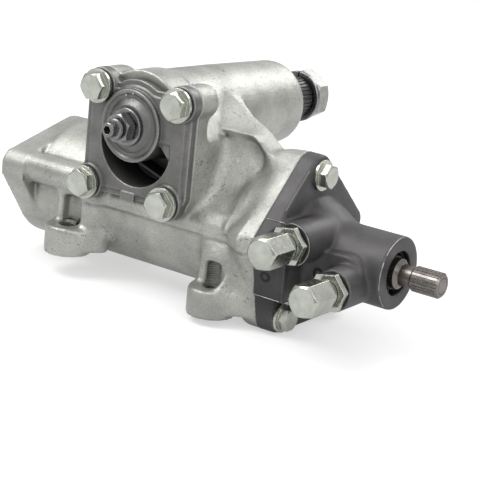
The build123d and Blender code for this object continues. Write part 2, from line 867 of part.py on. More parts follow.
def sector_shaft():
    """The output shaft with its toothed sector, tapered serrations and threaded end."""
    half = sector_face_width / 2
    shaft = turned_y([
        (sector_front_end, sector_front_journal_radius - 0.8),
        (sector_front_end + 0.8, sector_front_journal_radius),
        (-half, sector_front_journal_radius),
        (-half, sector_hub_radius),
        (half, sector_hub_radius),
        (half, sector_journal_radius + 1.5),
        (half + 2, sector_journal_radius + 1.5),
        (half + 2, sector_journal_radius),
        (serration_start - 1.5, sector_journal_radius),
        (serration_start, serration_radius),
        (serration_end, serration_radius),
        (serration_end, thread_radius),
        (thread_end - 1.2, thread_radius),
        (thread_end, thread_radius - 1.2),
    ])
    root_radius = pitch_radius - rack_dedendum
    fan = disc(root_radius, 0, 0) & (Pos(0, -root_radius) * Rectangle(3 * root_radius, 1.15 * root_radius))
    for number in (-1, 0, 1):
        turn = number * tooth_angle * 180 / pi
        fan += Rot(0, 0, turn) * sector_tooth()
    shaft += Pos(0, 0, shaft_height) * y_plate(fan, -half, half)
    pocket = y_rod(sector_front_end - 1, adjuster_head_back + seat_gap, adjuster_head_radius + 0.15)
    shaft -= pocket
    half = serration_width / 2
    groove = make_face(Polyline((-half, 0.3), (half, 0.3), (0, -serration_depth), close=True))
    groove = Pos(0, serration_radius) * groove
    cut = y_plate(groove, serration_start - 1, serration_end + 1)
    for number in range(serration_count):
        turn = 360 * (number + 0.5) / serration_count
        shaft -= Pos(0, 0, shaft_height) * Rot(0, turn, 0) * cut
    return shaft


def pitman_lock_washer():
    """The split spring washer under the output nut."""
    ring = y_ring(lock_washer_y, lock_washer_thickness, thread_radius + 0.3, lock_washer_radius)
    ring = chamfer(ring.edges().filter_by(GeomType.CIRCLE).sort_by(SortBy.RADIUS)[-2:], 0.5)
    gap = block((-0.9, lock_washer_y - 1, shaft_height), (0.9, pitman_nut_y + 1, shaft_height + 30))
    return ring - gap


def pitman_nut():
    """The large nut on the output end, flats to the left and right."""
    nut = hex_nut(pitman_nut_hex, pitman_nut_height, thread_radius + seat_gap)
    top = pitman_nut_y + pitman_nut_height
    return Pos(0, top, shaft_height) * Rot(90, 0, 0) * Rot(0, 0, 30) * nut


def cover_bearing():
    """The bush that carries the sector shaft in the cover."""
    outer = sector_front_journal_radius + cover_bearing_shell
    start = cover_spigot_back - cover_bearing_width
    return y_ring(start, cover_bearing_width, sector_front_journal_radius + running_clearance, outer)


def tube_bearing(start):
    """A needle bearing shell in the sector tube, with a lip at each end."""
    inner = sector_journal_radius + running_clearance
    ring = y_ring(start, bearing_width, inner, tube_bore_radius)
    relief = y_ring(start + 2.5, bearing_width - 5, inner - 1, inner + 0.8)
    return ring - relief


def sector_seal():
    """The oil seal in the tube, with a lip that narrows to the shaft."""
    inner = sector_journal_radius + running_clearance
    ring = y_ring(sector_seal_y, sector_seal_width, inner, tube_bore_radius)
    cavity = y_ring(sector_seal_y - 1, sector_seal_width - 1.5, inner + 1.0, tube_bore_radius - 1.5)
    return ring - cavity


def sector_snap_ring():
    """The snap ring that holds the oil seal, open at the bottom."""
    ring = y_ring(sector_ring_y, sector_ring_thickness, sector_journal_radius + 1.6, tube_bore_radius + 1.4)
    gap = block((-4, sector_ring_y - 1, 0), (4, sector_ring_y + 4, shaft_height))
    return ring - gap


def sector_dust_seal():
    """The dust lip at the mouth of the tube."""
    inner = sector_journal_radius + running_clearance
    ring = y_ring(dust_seal_y, dust_seal_width, inner, tube_bore_radius)
    return chamfer(ring.edges().group_by(Axis.Y)[-1], 0.6)


def rack_gap():
    """The space between two rack teeth, as a (x, z) sketch centred on x = 0."""
    slope = tan(radians(pressure_angle))
    half = rack_pitch / 4
    top = rack_addendum + 4
    outline = Polyline(
        (-half - top * slope, rack_pitch_z + top), (half + top * slope, rack_pitch_z + top),
        (half - rack_dedendum * slope, rack_pitch_z - rack_dedendum),
        (-half + rack_dedendum * slope, rack_pitch_z - rack_dedendum), close=True,
    )
    return make_face(outline)


def rack_piston():
    """The piston: rack teeth on top, a ball groove inside and a flat for the ball guide below."""
    piston = x_rod(piston_left, piston_right, piston_radius)
    piston = chamfer(piston.edges(), 1.0)
    flat = rack_pitch_z + rack_addendum
    piston -= block((-rack_flat_half_length, -40, flat), (rack_flat_half_length, 40, 60))
    for number in (-1, 0, 1):
        piston -= y_plate(Pos(number * rack_pitch, 0) * rack_gap(), -40, 40)
    piston -= block((guide_flat_left, -40, -60), (guide_flat_right, 40, guide_flat_z))
    piston -= x_rod(piston_bore_end - 20, piston_right + 1, nut_radius)
    piston -= x_rod(piston_left - 1, piston_bore_end, piston_plug_radius + seat_gap)
    piston -= x_ring(piston_ring_x, piston_ring_width, piston_radius - piston_ring_depth, piston_radius + 5)
    ball_end_x = ball_start_x + ball_turns * screw_lead
    piston -= screw_groove(ball_start_x - groove_overrun, ball_end_x + groove_overrun, groove_radius)
    piston -= x_rod(piston_right - piston_mouth_depth, piston_right + 1, piston_plug_radius + seat_gap)
    for turn in (0, ball_turns):
        place = ball_place(turn)
        piston -= z_rod(-40, 0, guide_tube_radius + seat_gap, place.X, place.Y)
    for x in guide_screw_places():
        piston -= z_rod(-33, guide_flat_z + guide_screw_depth, guide_screw_radius + seat_gap, x, 0)
    return piston


def guide_middle():
    """The middle of the return tube along X."""
    return (ball_place(0).X + ball_place(ball_turns).X) / 2


def guide_screw_places():
    """Where the two guide clamp screws stand along X."""
    return [guide_middle() - guide_screw_reach, guide_middle() + guide_screw_reach]


def piston_plug():
    """The threaded plug that closes the piston's far end, with a square key socket."""
    plug = x_rod(piston_left + 1, piston_bore_end - seat_gap, piston_plug_radius)
    key = Pos(0, 0) * Rectangle(12, 12)
    return plug - x_plate(key, piston_left, piston_left + 5)


def piston_ring():
    """The slit sealing ring in the piston's groove."""
    inner = piston_radius - piston_ring_depth + seat_gap
    ring = x_ring(piston_ring_x + 0.05, piston_ring_width - 0.1, inner, piston_radius)
    gap = block((piston_ring_x - 1, -0.4, 20), (piston_ring_x + 5, 0.4, 50))
    return ring - gap


def balls():
    """The loaded train of balls between the worm and the piston."""
    spacing = 2 * ball_radius + 0.15
    turn_length = sqrt((2 * pi * ball_circle_radius) ** 2 + screw_lead ** 2)
    count = int(ball_turns * turn_length / spacing)
    step = spacing / turn_length
    first = (ball_turns - (count - 1) * step) / 2
    return Compound([Pos(ball_place(first + n * step)) * Sphere(ball_radius) for n in range(count)])


def ball_guide():
    """The return tube: two legs join the ends of the loaded turns under the piston."""
    first = ball_place(0)
    last = ball_place(ball_turns)
    radius = guide_tube_radius
    path = FilletPolyline(
        (first.X, first.Y, guide_leg_top), (first.X, first.Y, guide_bridge_z),
        (last.X, last.Y, guide_bridge_z), (last.X, last.Y, guide_leg_top), radius=guide_bend_radius,
    )
    section = Plane(origin=path @ 0, z_dir=path % 0)
    outer = sweep(section * Circle(radius), path=path)
    inner = sweep(section * Circle(ball_radius + 0.25), path=path)
    return outer - inner


def guide_clamp():
    """The bent strap that holds the return tube against the piston."""
    middle = guide_middle()
    thick = guide_clamp_thickness
    half = guide_strap_half_width
    reach = guide_strap_reach
    low = guide_bridge_z - guide_tube_radius - thick
    foot = guide_flat_z - running_clearance
    strap = block((middle - reach, -half, low), (middle + reach, half, low + thick))
    for side in (-1, 1):
        near, far = sorted((middle + side * (reach - thick), middle + side * reach))
        strap += block((near, -half, low), (far, half, foot))
        near, far = sorted((middle + side * (reach - thick), middle + side * guide_foot_reach))
        strap += block((near, -half, foot - thick), (far, half, foot))
    for x in guide_screw_places():
        strap -= z_rod(-40, 0, guide_screw_radius + seat_gap, x, 0)
    return strap


def guide_screws():
    """The two screws that hold the strap to the piston."""
    seat = guide_flat_z - running_clearance - guide_clamp_thickness
    screws = []
    for x in guide_screw_places():
        screw = z_rod(seat - 2, seat, guide_screw_radius + 1.5, x, 0)
        screw += z_rod(seat - 0.5, guide_flat_z + guide_screw_depth - 0.3, guide_screw_radius, x, 0)
        screws.append(screw)
    return Compound(screws)


def worm_shaft():
    """The worm: a ball groove along its length, a thrust collar and a nose for the valve."""
    collar_left = bearing_nut_left + bearing_nut_width + thrust_bearing_width
    collar_right = collar_left + worm_collar_width
    worm = turned_x([
        (worm_left, worm_radius - 2.0), (worm_left + 2, worm_radius),
        (groove_right + 6, worm_radius), (groove_right + 8, worm_radius - 1.2),
        (collar_left, worm_radius - 1.2), (collar_left, worm_collar_radius),
        (collar_right, worm_collar_radius), (collar_right, worm_nose_radius),
        (worm_nose_end - 1, worm_nose_radius), (worm_nose_end, worm_nose_radius - 1),
    ])
    worm -= screw_groove(groove_left, groove_right, groove_radius)
    worm -= x_rod(torsion_bar_left, worm_nose_end + 1, torsion_head_radius + running_clearance)
    return worm


def thrust_bearings():
    """Two thrust bearings, one each side of the worm's collar."""
    left = bearing_nut_left + bearing_nut_width
    right = left + thrust_bearing_width + worm_collar_width
    inner = worm_nose_radius + 1.0
    rings = []
    for start in (left, right):
        rings.append(x_ring(start + 0.05, thrust_bearing_width - 0.1, inner, thrust_ring_radius))
    return Compound(rings)


def bearing_lock_nut():
    """The threaded ring that sets the worm's bearing preload, with spanner notches."""
    outer = spigot_bore_radius - seat_gap
    nut = x_ring(bearing_nut_left, bearing_nut_width, worm_radius + 1.5, outer)
    for number in range(4):
        notch = block((bearing_nut_left - 1, -2.5, outer - 3), (bearing_nut_left + 2, 2.5, outer + 3))
        nut -= Rot(90 * number + 45, 0, 0) * notch
    return nut


def valve_sleeve():
    """The rotary valve's sleeve, with ring lands outside and ports through it."""
    length = sleeve_right - sleeve_left
    sleeve = x_ring(sleeve_left, length, spool_radius + running_clearance, sleeve_radius)
    sleeve -= x_rod(sleeve_left - 1, worm_nose_end + 0.5, worm_nose_radius + seat_gap)
    pitch = length / (sleeve_groove_count + 1)
    for number in range(sleeve_groove_count):
        middle = sleeve_left + pitch * (number + 1)
        groove = x_ring(
            middle - sleeve_groove_width / 2, sleeve_groove_width,
            sleeve_radius - sleeve_groove_depth, sleeve_radius + 3,
        )
        sleeve -= groove
        port = z_rod(0, sleeve_radius + 2, 1.6, middle, 0)
        for turn in (0, 120, 240):
            sleeve -= Rot(turn + 40 * number, 0, 0) * port
    for start in sleeve_ring_places():
        sleeve -= x_ring(start, sleeve_ring_width, sleeve_radius - 2.0, sleeve_radius + 3)
    return sleeve


def sleeve_ring_places():
    """The starts of the four seal ring grooves, between and beside the oil grooves."""
    pitch = (sleeve_right - sleeve_left) / (sleeve_groove_count + 1)
    return [sleeve_left + pitch * (n + 0.5) - sleeve_ring_width / 2 for n in range(4)]


def sleeve_rings():
    """Four seal rings between the sleeve and the valve housing."""
    rings = []
    for start in sleeve_ring_places():
        rings.append(x_ring(start + 0.05, sleeve_ring_width - 0.1, sleeve_radius - 1.9, sleeve_radius))
    return Compound(rings)


def input_shaft():
    """The input shaft: slotted spool inside, bearing journal, neck and splined end."""
    journal_end = dust_ring_left + dust_ring_width
    shaft = turned_x([
        (spool_left, spool_radius), (sleeve_right + 0.8, spool_radius),
        (sleeve_right + 0.8, input_journal_radius), (journal_end, input_journal_radius),
        (input_neck_start, input_neck_radius), (spline_start - 1.2, input_neck_radius),
        (spline_start, spline_radius), (input_end - 1.2, spline_radius),
        (input_end, spline_radius - 1.2),
    ])
    shaft -= x_rod(spool_left - 1, torsion_bar_right - 12, torsion_bar_radius + 1.2)
    shaft -= x_rod(spool_left - 1, torsion_bar_right + seat_gap, torsion_bar_radius + running_clearance)
    slot_left = spool_left + 5
    slot_right = sleeve_right - 4
    for number in range(spool_slot_count):
        slot = block(
            (slot_left, -spool_slot_width / 2, spool_radius - spool_slot_depth),
            (slot_right, spool_slot_width / 2, spool_radius + 3),
        )
        shaft -= Rot(360 * number / spool_slot_count, 0, 0) * slot
    for number in range(spline_count):
        groove = block(
            (spline_start - 1, -spline_groove_width / 2, spline_radius - spline_groove_depth),
            (input_end + 1, spline_groove_width / 2, spline_radius + 1),
        )
        shaft -= Rot(360 * number / spline_count, 0, 0) * groove
    shaft -= x_ring(input_end - 0.5, 1.0, input_face_disc_radius - 0.4, input_face_disc_radius)
    return shaft


def torsion_bar():
    """The thin bar that twists between the worm and the input shaft."""
    bar = turned_x([
        (torsion_bar_left + 0.3, torsion_head_radius), (torsion_bar_left + 18, torsion_head_radius),
        (torsion_bar_left + 22, torsion_bar_radius), (torsion_bar_right, torsion_bar_radius),
    ])
    return bar


def input_bearing():
    """The needle bearing shell that carries the input shaft."""
    inner = input_journal_radius + running_clearance
    ring = x_ring(input_bearing_left, input_bearing_width, inner, input_bearing_radius)
    return ring - x_ring(input_bearing_left + 2, input_bearing_width - 4, inner - 1, inner + 0.8)


def input_seal():
    """The oil seal behind the snap ring, dished on its outer face."""
    inner = input_journal_radius + running_clearance
    ring = x_ring(input_seal_left, input_seal_width, inner, input_bearing_radius)
    dish = x_ring(input_seal_left + input_seal_width - 1.8, 3, inner + 0.9, input_bearing_radius - 1.6)
    return ring - dish


def input_snap_ring():
    """The dark snap ring in the mouth of the snout, with its gap and eyes low down."""
    ring = x_ring(input_ring_left, input_ring_width, input_bearing_radius - 1.8, snout_mouth_radius + 0.4)
    gap = block((input_ring_left - 1, -3, -30), (input_ring_left + 4, 3, 0))
    ring = ring - gap
    right = input_ring_left + input_ring_width
    z = ring_eye_rise - input_bearing_radius
    for y in (-ring_eye_y, ring_eye_y):
        eye = x_rod(input_ring_left, right, ring_eye_radius, y, z)
        ring += eye - x_rod(input_ring_left - 1, right + 1, ring_eye_hole, y, z)
    return ring


def input_dust_ring():
    """The small ribbed dust ring pressed on the shaft just outside the seal."""
    start = dust_ring_left - dust_ring_width
    outer = input_journal_radius + dust_ring_height
    return x_ring(start, dust_ring_width, input_journal_radius + seat_gap, outer)


def valve_body_outside():
    """The outside of the valve housing, before its bores are cut."""
    body = x_plate(flange_outline(), barrel_right, flange_right)
    dome = turned_x([
        (flange_right - 1, dome_radius + 4), (dome_end, dome_radius), (dome_end + 6, dome_radius - 3.5),
        (snout_start, snout_radius + 0.6), (snout_start + 6, snout_radius), (snout_end - 0.8, snout_radius),
        (snout_end, snout_radius - 0.8),
    ])
    body += dome
    side = make_face(Polyline(
        (0, port_block_top), (port_block_slant_y, port_block_top),
        (port_block_front, port_block_slant_z), (port_block_front, port_block_bottom + 2),
        (port_block_front + 3, port_block_bottom), (0, port_block_bottom), close=True,
    ))
    body += x_plate(side, barrel_right, port_block_right)
    body += y_rod(port_one_seat, 0, port_boss_radius, port_one_x, port_one_z)
    body += y_rod(port_two_seat, 0, port_boss_radius, port_two_x, port_two_z)
    cheek = hull_of([
        (flange_right + cheek_overlap, cheek_z, cheek_radius),
        (port_two_x - cheek_overlap, cheek_z - 2, cheek_tip_radius - 2),
        (port_two_x - 2, cheek_z + cheek_overlap, cheek_tip_radius),
    ])
    body += y_plate(cheek, cheek_front, 0)
    return body


def valve_housing():
    """The dark iron valve housing: bolt flange, oil ports, valve bore and seal snout."""
    body = valve_body_outside()
    body += x_rod(bearing_nut_left, barrel_right + 1, bore_radius - running_clearance)
    body -= x_ring(bearing_nut_left + 3.0, 3.4, bore_radius - 2.6, bore_radius + 3)
    collar_right = bearing_nut_left + bearing_nut_width + 2 * thrust_bearing_width + worm_collar_width
    body -= x_rod(bearing_nut_left - 1, collar_right, spigot_bore_radius)
    body -= x_rod(0, sleeve_right + 1, sleeve_radius + running_clearance)
    body -= x_rod(0, input_ring_left, input_bearing_radius + seat_gap)
    body -= x_rod(input_ring_left - 0.1, input_end, snout_mouth_radius - 0.8)
    body -= x_rod(input_ring_left - 0.1, input_ring_left + input_ring_width + 0.1, snout_mouth_radius + 0.5)
    for y, z in valve_bolt_places():
        body -= x_rod(barrel_right - 1, flange_right + 1, bolt_hole_radius, y, z)
        body -= x_rod(flange_right, flange_right + 20, valve_bolt_flange_radius + 1.2, y, z)
    for x, z, seat in port_places():
        body -= y_rod(seat - 20, seat, port_boss_radius, x, z)
        body -= y_rod(seat - 1, seat + port_hole_depth, port_hole_radius, x, z)
    body -= core_mark(port_block_front, *block_mark)
    body -= core_mark(cheek_front, *cheek_mark)
    return body


def core_mark(face, x, z):
    """A shallow ring cut into a front face, as left by a core plug."""
    ring = y_rod(face - 1, face + core_mark_depth, core_mark_radius, x, z)
    return ring - y_rod(face - 2, face + 1, core_mark_radius - core_mark_width, x, z)


def port_places():
    """Both oil ports as (x, z, seat)."""
    return [(port_one_x, port_one_z, port_one_seat), (port_two_x, port_two_z, port_two_seat)]


def housing_o_ring():
    """The O-ring round the valve housing's spigot."""
    middle = bearing_nut_left + 3.0 + 1.7
    radius = bore_radius - 1.35
    circle = Plane.XY * Pos(middle, radius) * Circle(1.2)
    return revolve(circle, Axis.X)


def valve_bolts():
    """Three flanged bolts through the valve flange."""
    bolts = []
    for (y, z), turn in zip(valve_bolt_places(), valve_bolt_turns):
        bolt = flange_bolt(valve_bolt_hex, valve_bolt_flange_radius, valve_bolt_grip)
        bolts.append(Pos(flange_right, y, z) * Rot(0, 90, 0) * Rot(0, 0, turn) * bolt)
    return Compound(bolts)


def port_plug(x, z, seat):
    """A long hexagon plug: washer face, hex flange, neck and hex head with a round face."""
    front = seat - plug_washer_thickness
    flange = extrude(RegularPolygon(plug_flange_hex / 2, 6, major_radius=False), plug_flange_height)
    head = extrude(RegularPolygon(plug_hex / 2, 6, major_radius=False), plug_length - plug_neck_length)
    head = Pos(0, 0, plug_neck_length) * head
    corner = plug_hex / sqrt(3)
    rounding = z_rod(0, plug_length - plug_bevel, corner + 1)
    rounding += Pos(0, 0, plug_length - plug_bevel / 2) * Cone(corner, plug_hex / 2 - 0.9, plug_bevel)
    head &= rounding
    shape = flange + head + z_rod(-12, plug_length - 6, plug_neck_radius - 1.2)
    neck = z_rod(plug_flange_height, plug_flange_height + plug_neck_length, 30)
    neck -= z_rod(plug_flange_height - 1, plug_flange_height + plug_neck_length + 1, plug_neck_radius)
    shape -= neck
    return Pos(x, front, z) * Rot(90, 0, 0) * Rot(0, 0, 10) * shape


def port_plug_washer(x, z, seat):
    """The soft sealing washer under a port plug."""
    ring = y_rod(seat - plug_washer_thickness, seat, plug_washer_radius, x, z)
    return ring - y_rod(seat - 5, seat + 1, port_hole_radius + 0.2, x, z)


def save(shape, name):
    """Move a finished piece to the output end's frame and write it."""
    placed = Pos(0, -output_reference_y, -shaft_height) * shape
    export_step(placed, os.path.join("parts", name + ".step"))


def main():
    os.makedirs("parts", exist_ok=True)
    save(gear_housing(), "gear_housing")
    save(side_cover(), "side_cover")
    save(cover_gasket(), "cover_gasket")
    save(cover_bolts(), "cover_bolts")
    save(cover_washers(), "cover_washers")
    save(adjuster_screw(), "adjuster_screw")
    save(adjuster_washer(), "adjuster_washer")
    save(adjuster_lock_nut(), "adjuster_lock_nut")
    save(adjuster_retainer(), "adjuster_retainer")
    save(sector_shaft(), "sector_shaft")
    save(pitman_lock_washer(), "pitman_lock_washer")
    save(pitman_nut(), "pitman_nut")
    save(cover_bearing(), "cover_bearing")
    save(tube_bearing(inner_bearing_y), "sector_bearing_inner")
    save(tube_bearing(outer_bearing_y), "sector_bearing_outer")
    save(sector_seal(), "sector_seal")
    save(sector_snap_ring(), "sector_snap_ring")
    save(sector_dust_seal(), "sector_dust_seal")
    save(rack_piston(), "rack_piston")
    save(piston_plug(), "piston_plug")
    save(piston_ring(), "piston_ring")
    save(balls(), "balls")
    save(ball_guide(), "ball_guide")
    save(guide_clamp(), "guide_clamp")
    save(guide_screws(), "guide_screws")
    save(worm_shaft(), "worm_shaft")
    save(thrust_bearings(), "thrust_bearings")
    save(bearing_lock_nut(), "bearing_lock_nut")
    save(valve_sleeve(), "valve_sleeve")
    save(sleeve_rings(), "sleeve_rings")
    save(input_shaft(), "input_shaft")
    save(torsion_bar(), "torsion_bar")
    save(input_bearing(), "input_bearing")
    save(input_seal(), "input_seal")
    save(input_snap_ring(), "input_snap_ring")
    save(input_dust_ring(), "input_dust_ring")
    save(valve_housing(), "valve_housing")
    save(housing_o_ring(), "housing_o_ring")
    save(valve_bolts(), "valve_bolts")
    for number, (x, z, seat) in enumerate(port_places(), start=1):
        save(port_plug(x, z, seat), f"port_plug_{number}")
        save(port_plug_washer(x, z, seat), f"port_washer_{number}")


main()
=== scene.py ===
import math
from collections import namedtuple

import bmesh
import bpy
import numpy as np
from mathutils import Matrix, Vector


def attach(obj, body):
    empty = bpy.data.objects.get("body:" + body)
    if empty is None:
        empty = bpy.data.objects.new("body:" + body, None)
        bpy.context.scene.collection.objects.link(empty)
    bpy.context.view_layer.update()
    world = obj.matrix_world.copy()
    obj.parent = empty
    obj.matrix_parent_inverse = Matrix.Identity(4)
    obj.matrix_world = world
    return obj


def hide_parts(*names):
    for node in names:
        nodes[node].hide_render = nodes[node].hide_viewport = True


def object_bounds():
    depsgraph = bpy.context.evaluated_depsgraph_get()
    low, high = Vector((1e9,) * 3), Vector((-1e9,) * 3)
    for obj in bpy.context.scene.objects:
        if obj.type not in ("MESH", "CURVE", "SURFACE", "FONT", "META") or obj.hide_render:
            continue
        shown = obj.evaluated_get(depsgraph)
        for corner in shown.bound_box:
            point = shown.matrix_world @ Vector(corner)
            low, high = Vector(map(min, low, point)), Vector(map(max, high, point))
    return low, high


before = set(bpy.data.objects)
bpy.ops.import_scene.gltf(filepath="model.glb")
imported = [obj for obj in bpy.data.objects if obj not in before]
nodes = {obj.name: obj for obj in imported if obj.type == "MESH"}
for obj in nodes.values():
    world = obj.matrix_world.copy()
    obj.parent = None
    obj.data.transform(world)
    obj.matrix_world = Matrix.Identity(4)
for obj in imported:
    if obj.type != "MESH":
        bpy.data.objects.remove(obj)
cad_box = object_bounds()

MM = 0.001

# The build frame, in millimetres, has the worm axis at y = 0, z = 0 and the sector axis at x = 0, z = 63
SHAFT_HEIGHT = 63.0
BUILD_SHIFT = (0.0, 115.0, SHAFT_HEIGHT)


def at(x, y, z):
    """A point of the build frame in metres of the part's frame."""
    return Vector(((x - BUILD_SHIFT[0]) * MM, (y - BUILD_SHIFT[1]) * MM, (z - BUILD_SHIFT[2]) * MM))


def add_object(name, data):
    """A new object in the scene."""
    made = bpy.data.objects.new(name, data)
    bpy.context.scene.collection.objects.link(made)
    return made


# Shader building

def place(tree, kind, inputs=(), **settings):
    """A new shader node with its sockets linked or set."""
    made = tree.nodes.new("ShaderNode" + kind)
    for key, value in settings.items():
        setattr(made, key, value)
    for key, value in dict(inputs).items():
        if isinstance(value, bpy.types.NodeSocket):
            tree.links.new(value, made.inputs[key])
        else:
            made.inputs[key].default_value = value
    return made


def noise(tree, where, scale, detail=3.0, rough=0.55):
    """A grey noise pattern; scale is in features per metre."""
    made = place(tree, "TexNoise", {"Vector": where, "Scale": scale, "Detail": detail, "Roughness": rough})
    return made.outputs["Fac"]


def spread(tree, value, low, high, to_low=0.0, to_high=1.0):
    """The value mapped from one range to another, and clamped."""
    made = place(tree, "MapRange", {
        "Value": value, "From Min": low, "From Max": high, "To Min": to_low, "To Max": to_high,
    })
    return made.outputs["Result"]


def math_of(tree, operation, first, second=0.0):
    """The result of one arithmetic step."""
    made = place(tree, "Math", {0: first, 1: second}, operation=operation)
    return made.outputs[0]


def product(tree, first, second):
    """Two values multiplied."""
    return math_of(tree, "MULTIPLY", first, second)


def blend_colour(tree, factor, first, second, kind="MIX"):
    """Two colours mixed by a factor."""
    made = place(tree, "Mix", {0: factor, 6: first, 7: second}, data_type="RGBA", blend_type=kind)
    return made.outputs[2]


def blend_value(tree, factor, first, second):
    """Two numbers mixed by a factor."""
    return place(tree, "Mix", {0: factor, 2: first, 3: second}, data_type="FLOAT").outputs[0]


def shaded(tree, base, factor):
    """A colour multiplied by a grey factor."""
    return blend_colour(tree, 1.0, base, factor, "MULTIPLY")


def colour(red, green, blue):
    """An opaque colour."""
    return (red, green, blue, 1.0)


def on_axis(tree, where, axis):
    """The coordinate along one axis."""
    return place(tree, "SeparateXYZ", {0: where}).outputs[axis]


def rounded_normal(tree, radius):
    """The surface's normal with its edges rounded."""
    return place(tree, "Bevel", {"Radius": radius}, samples=6).outputs[0]


def edge_mask(tree, radius, low=0.02, high=0.30):
    """Where the surface turns sharply outwards or inwards within a radius."""
    soft = rounded_normal(tree, radius)
    flat = place(tree, "NewGeometry").outputs["Normal"]
    dot = place(tree, "VectorMath", {0: soft, 1: flat}, operation="DOT_PRODUCT").outputs["Value"]
    return spread(tree, math_of(tree, "SUBTRACT", 1.0, dot), low, high)


def relief(tree, height, strength, distance, normal=None):
    """A bumped normal."""
    inputs = {"Height": height, "Strength": strength, "Distance": distance}
    if normal is not None:
        inputs["Normal"] = normal
    return place(tree, "Bump", inputs).outputs[0]


def new_material(name):
    """An empty material, its node tree and principled shader, and the object's own coordinates."""
    made = bpy.data.materials.new(name)
    made.use_nodes = True
    tree = made.node_tree
    shader = next(n for n in tree.nodes if n.type == "BSDF_PRINCIPLED")
    where = place(tree, "TexCoord").outputs["Object"]
    return made, tree, shader, where


def connect(tree, shader, **sockets):
    """Link or set the shader's sockets by name."""
    for key, value in sockets.items():
        name = key.replace("_", " ").title()
        if isinstance(value, bpy.types.NodeSocket):
            tree.links.new(value, shader.inputs[name])
        else:
            shader.inputs[name].default_value = value


def shaded_in_hollows(tree, base, hollow_shade):
    """A colour with painted shade in hollows, from ambient occlusion; the last argument is None, or a reach
    in metres and the darkest factor.
    """
    if hollow_shade is None:
        return base
    reach, level = hollow_shade
    shade = place(tree, "AmbientOcclusion", {"Distance": reach}, samples=8)
    open_air = spread(tree, shade.outputs["AO"], 0.35, 0.95)
    return shaded(tree, base, spread(tree, open_air, 0.0, 1.0, level, 1.0))


MARK_WIDTH = 0.0021
MARK_COLOUR = colour(0.008, 0.008, 0.008)
PIT_COLOUR = colour(0.09, 0.09, 0.09)
# Painted shade in thread roots
THREAD_ROOT_SHADE = colour(0.03, 0.03, 0.03)


def circle_mark(tree, where, centre, radius):
    """1 on a thin circle about a point, seen along Y, and 0 elsewhere."""
    split = place(tree, "SeparateXYZ", {0: where})
    across = math_of(tree, "SUBTRACT", split.outputs[0], centre.x)
    up = math_of(tree, "SUBTRACT", split.outputs[2], centre.z)
    square = math_of(tree, "ADD", product(tree, across, across), product(tree, up, up))
    off = math_of(tree, "ABSOLUTE", math_of(tree, "SUBTRACT", math_of(tree, "SQRT", square), radius))
    line = spread(tree, off, MARK_WIDTH * 0.35, MARK_WIDTH * 0.6, 1.0, 0.0)
    return product(tree, line, math_of(tree, "LESS_THAN", split.outputs[1], centre.y))


def worn_edges(tree, where, turn, width):
    """1 along outward edges, with gaps where the skin is still whole."""
    broken = spread(tree, noise(tree, where, 260.0, 3.0), 0.42, 0.58)
    line = product(tree, edge_mask(tree, width, 0.05, 0.22), broken)
    return product(tree, line, spread(tree, turn, 0.495, 0.515))


def casting_pits(tree, where, amount):
    """Small pits that come in patches."""
    dots = spread(tree, noise(tree, where, 520.0, 2.0, 0.4), 0.63, 0.70)
    patch = spread(tree, noise(tree, where, 26.0, 2.0), 0.46, 0.60)
    return product(tree, product(tree, dots, patch), amount)


def cast_metal(name, light, dark, edge, metallic, rough, grain, depth, blotch=45.0, wear=0.35, crease_shade=0.5,
               pits=0.0, edge_width=0.0, deep=None, marks=(), hollow_shade=None, sparkle=0.14,
               worn_from=0.525, coarse=None):
    """Sand-cast metal: blotches, a grain that sparkles, worn edges, pits, and painted shade in hollows and
    creases.

    deep is an axis, the places on it where a painted shade starts and ends, and its last factor. coarse is an
    axis and the places between which the grain grows to its full depth. marks are circles' centres and radii.
    """
    made, tree, shader, where = new_material(name)
    clouds = spread(tree, noise(tree, where, blotch, 4.0), 0.36, 0.66)
    base = blend_colour(tree, clouds, dark, light)
    fine = noise(tree, where, grain, 3.0, 0.6)
    base = shaded(tree, base, spread(tree, fine, 0.34, 0.68, 1.0 - sparkle, 1.0 + sparkle))
    turn = place(tree, "NewGeometry").outputs["Pointiness"]
    # Painted shade where the surface turns inwards, from its pointiness
    base = shaded(tree, base, spread(tree, turn, 0.40, 0.50, crease_shade, 1.0))
    sharp = spread(tree, turn, worn_from, worn_from + 0.07)
    ragged = product(tree, sharp, spread(tree, fine, 0.38, 0.58))
    base = blend_colour(tree, product(tree, ragged, wear), base, edge)
    if edge_width:
        base = blend_colour(tree, worn_edges(tree, where, turn, edge_width), base, edge)
    if pits:
        base = blend_colour(tree, casting_pits(tree, where, pits), base, PIT_COLOUR)
    # Painted shade in hollows, from ambient occlusion
    base = shaded_in_hollows(tree, base, hollow_shade)
    # Painted shade that deepens along one axis
    if deep is not None:
        axis, start, end, level = deep
        base = shaded(tree, base, spread(tree, on_axis(tree, where, axis), start, end, 1.0, level))
    gloss = spread(tree, fine, 0.3, 0.7, rough + 0.10, rough - 0.12)
    lumpy = product(tree, noise(tree, where, grain * 0.22, 3.0), 1.6)
    skin = math_of(tree, "ADD", lumpy, fine)
    for centre, radius in marks:
        ring = circle_mark(tree, where, centre, radius)
        base = blend_colour(tree, product(tree, ring, 0.95), base, MARK_COLOUR)
        skin = math_of(tree, "SUBTRACT", skin, product(tree, ring, 3.0))
    strength = 0.75
    if coarse is not None:
        axis, start, end = coarse
        strength = spread(tree, on_axis(tree, where, axis), start, end, 0.55, 1.0)
    bumped = relief(tree, skin, strength, depth)
    connect(tree, shader, base_color=base, roughness=gloss, normal=bumped, metallic=metallic)
    return made


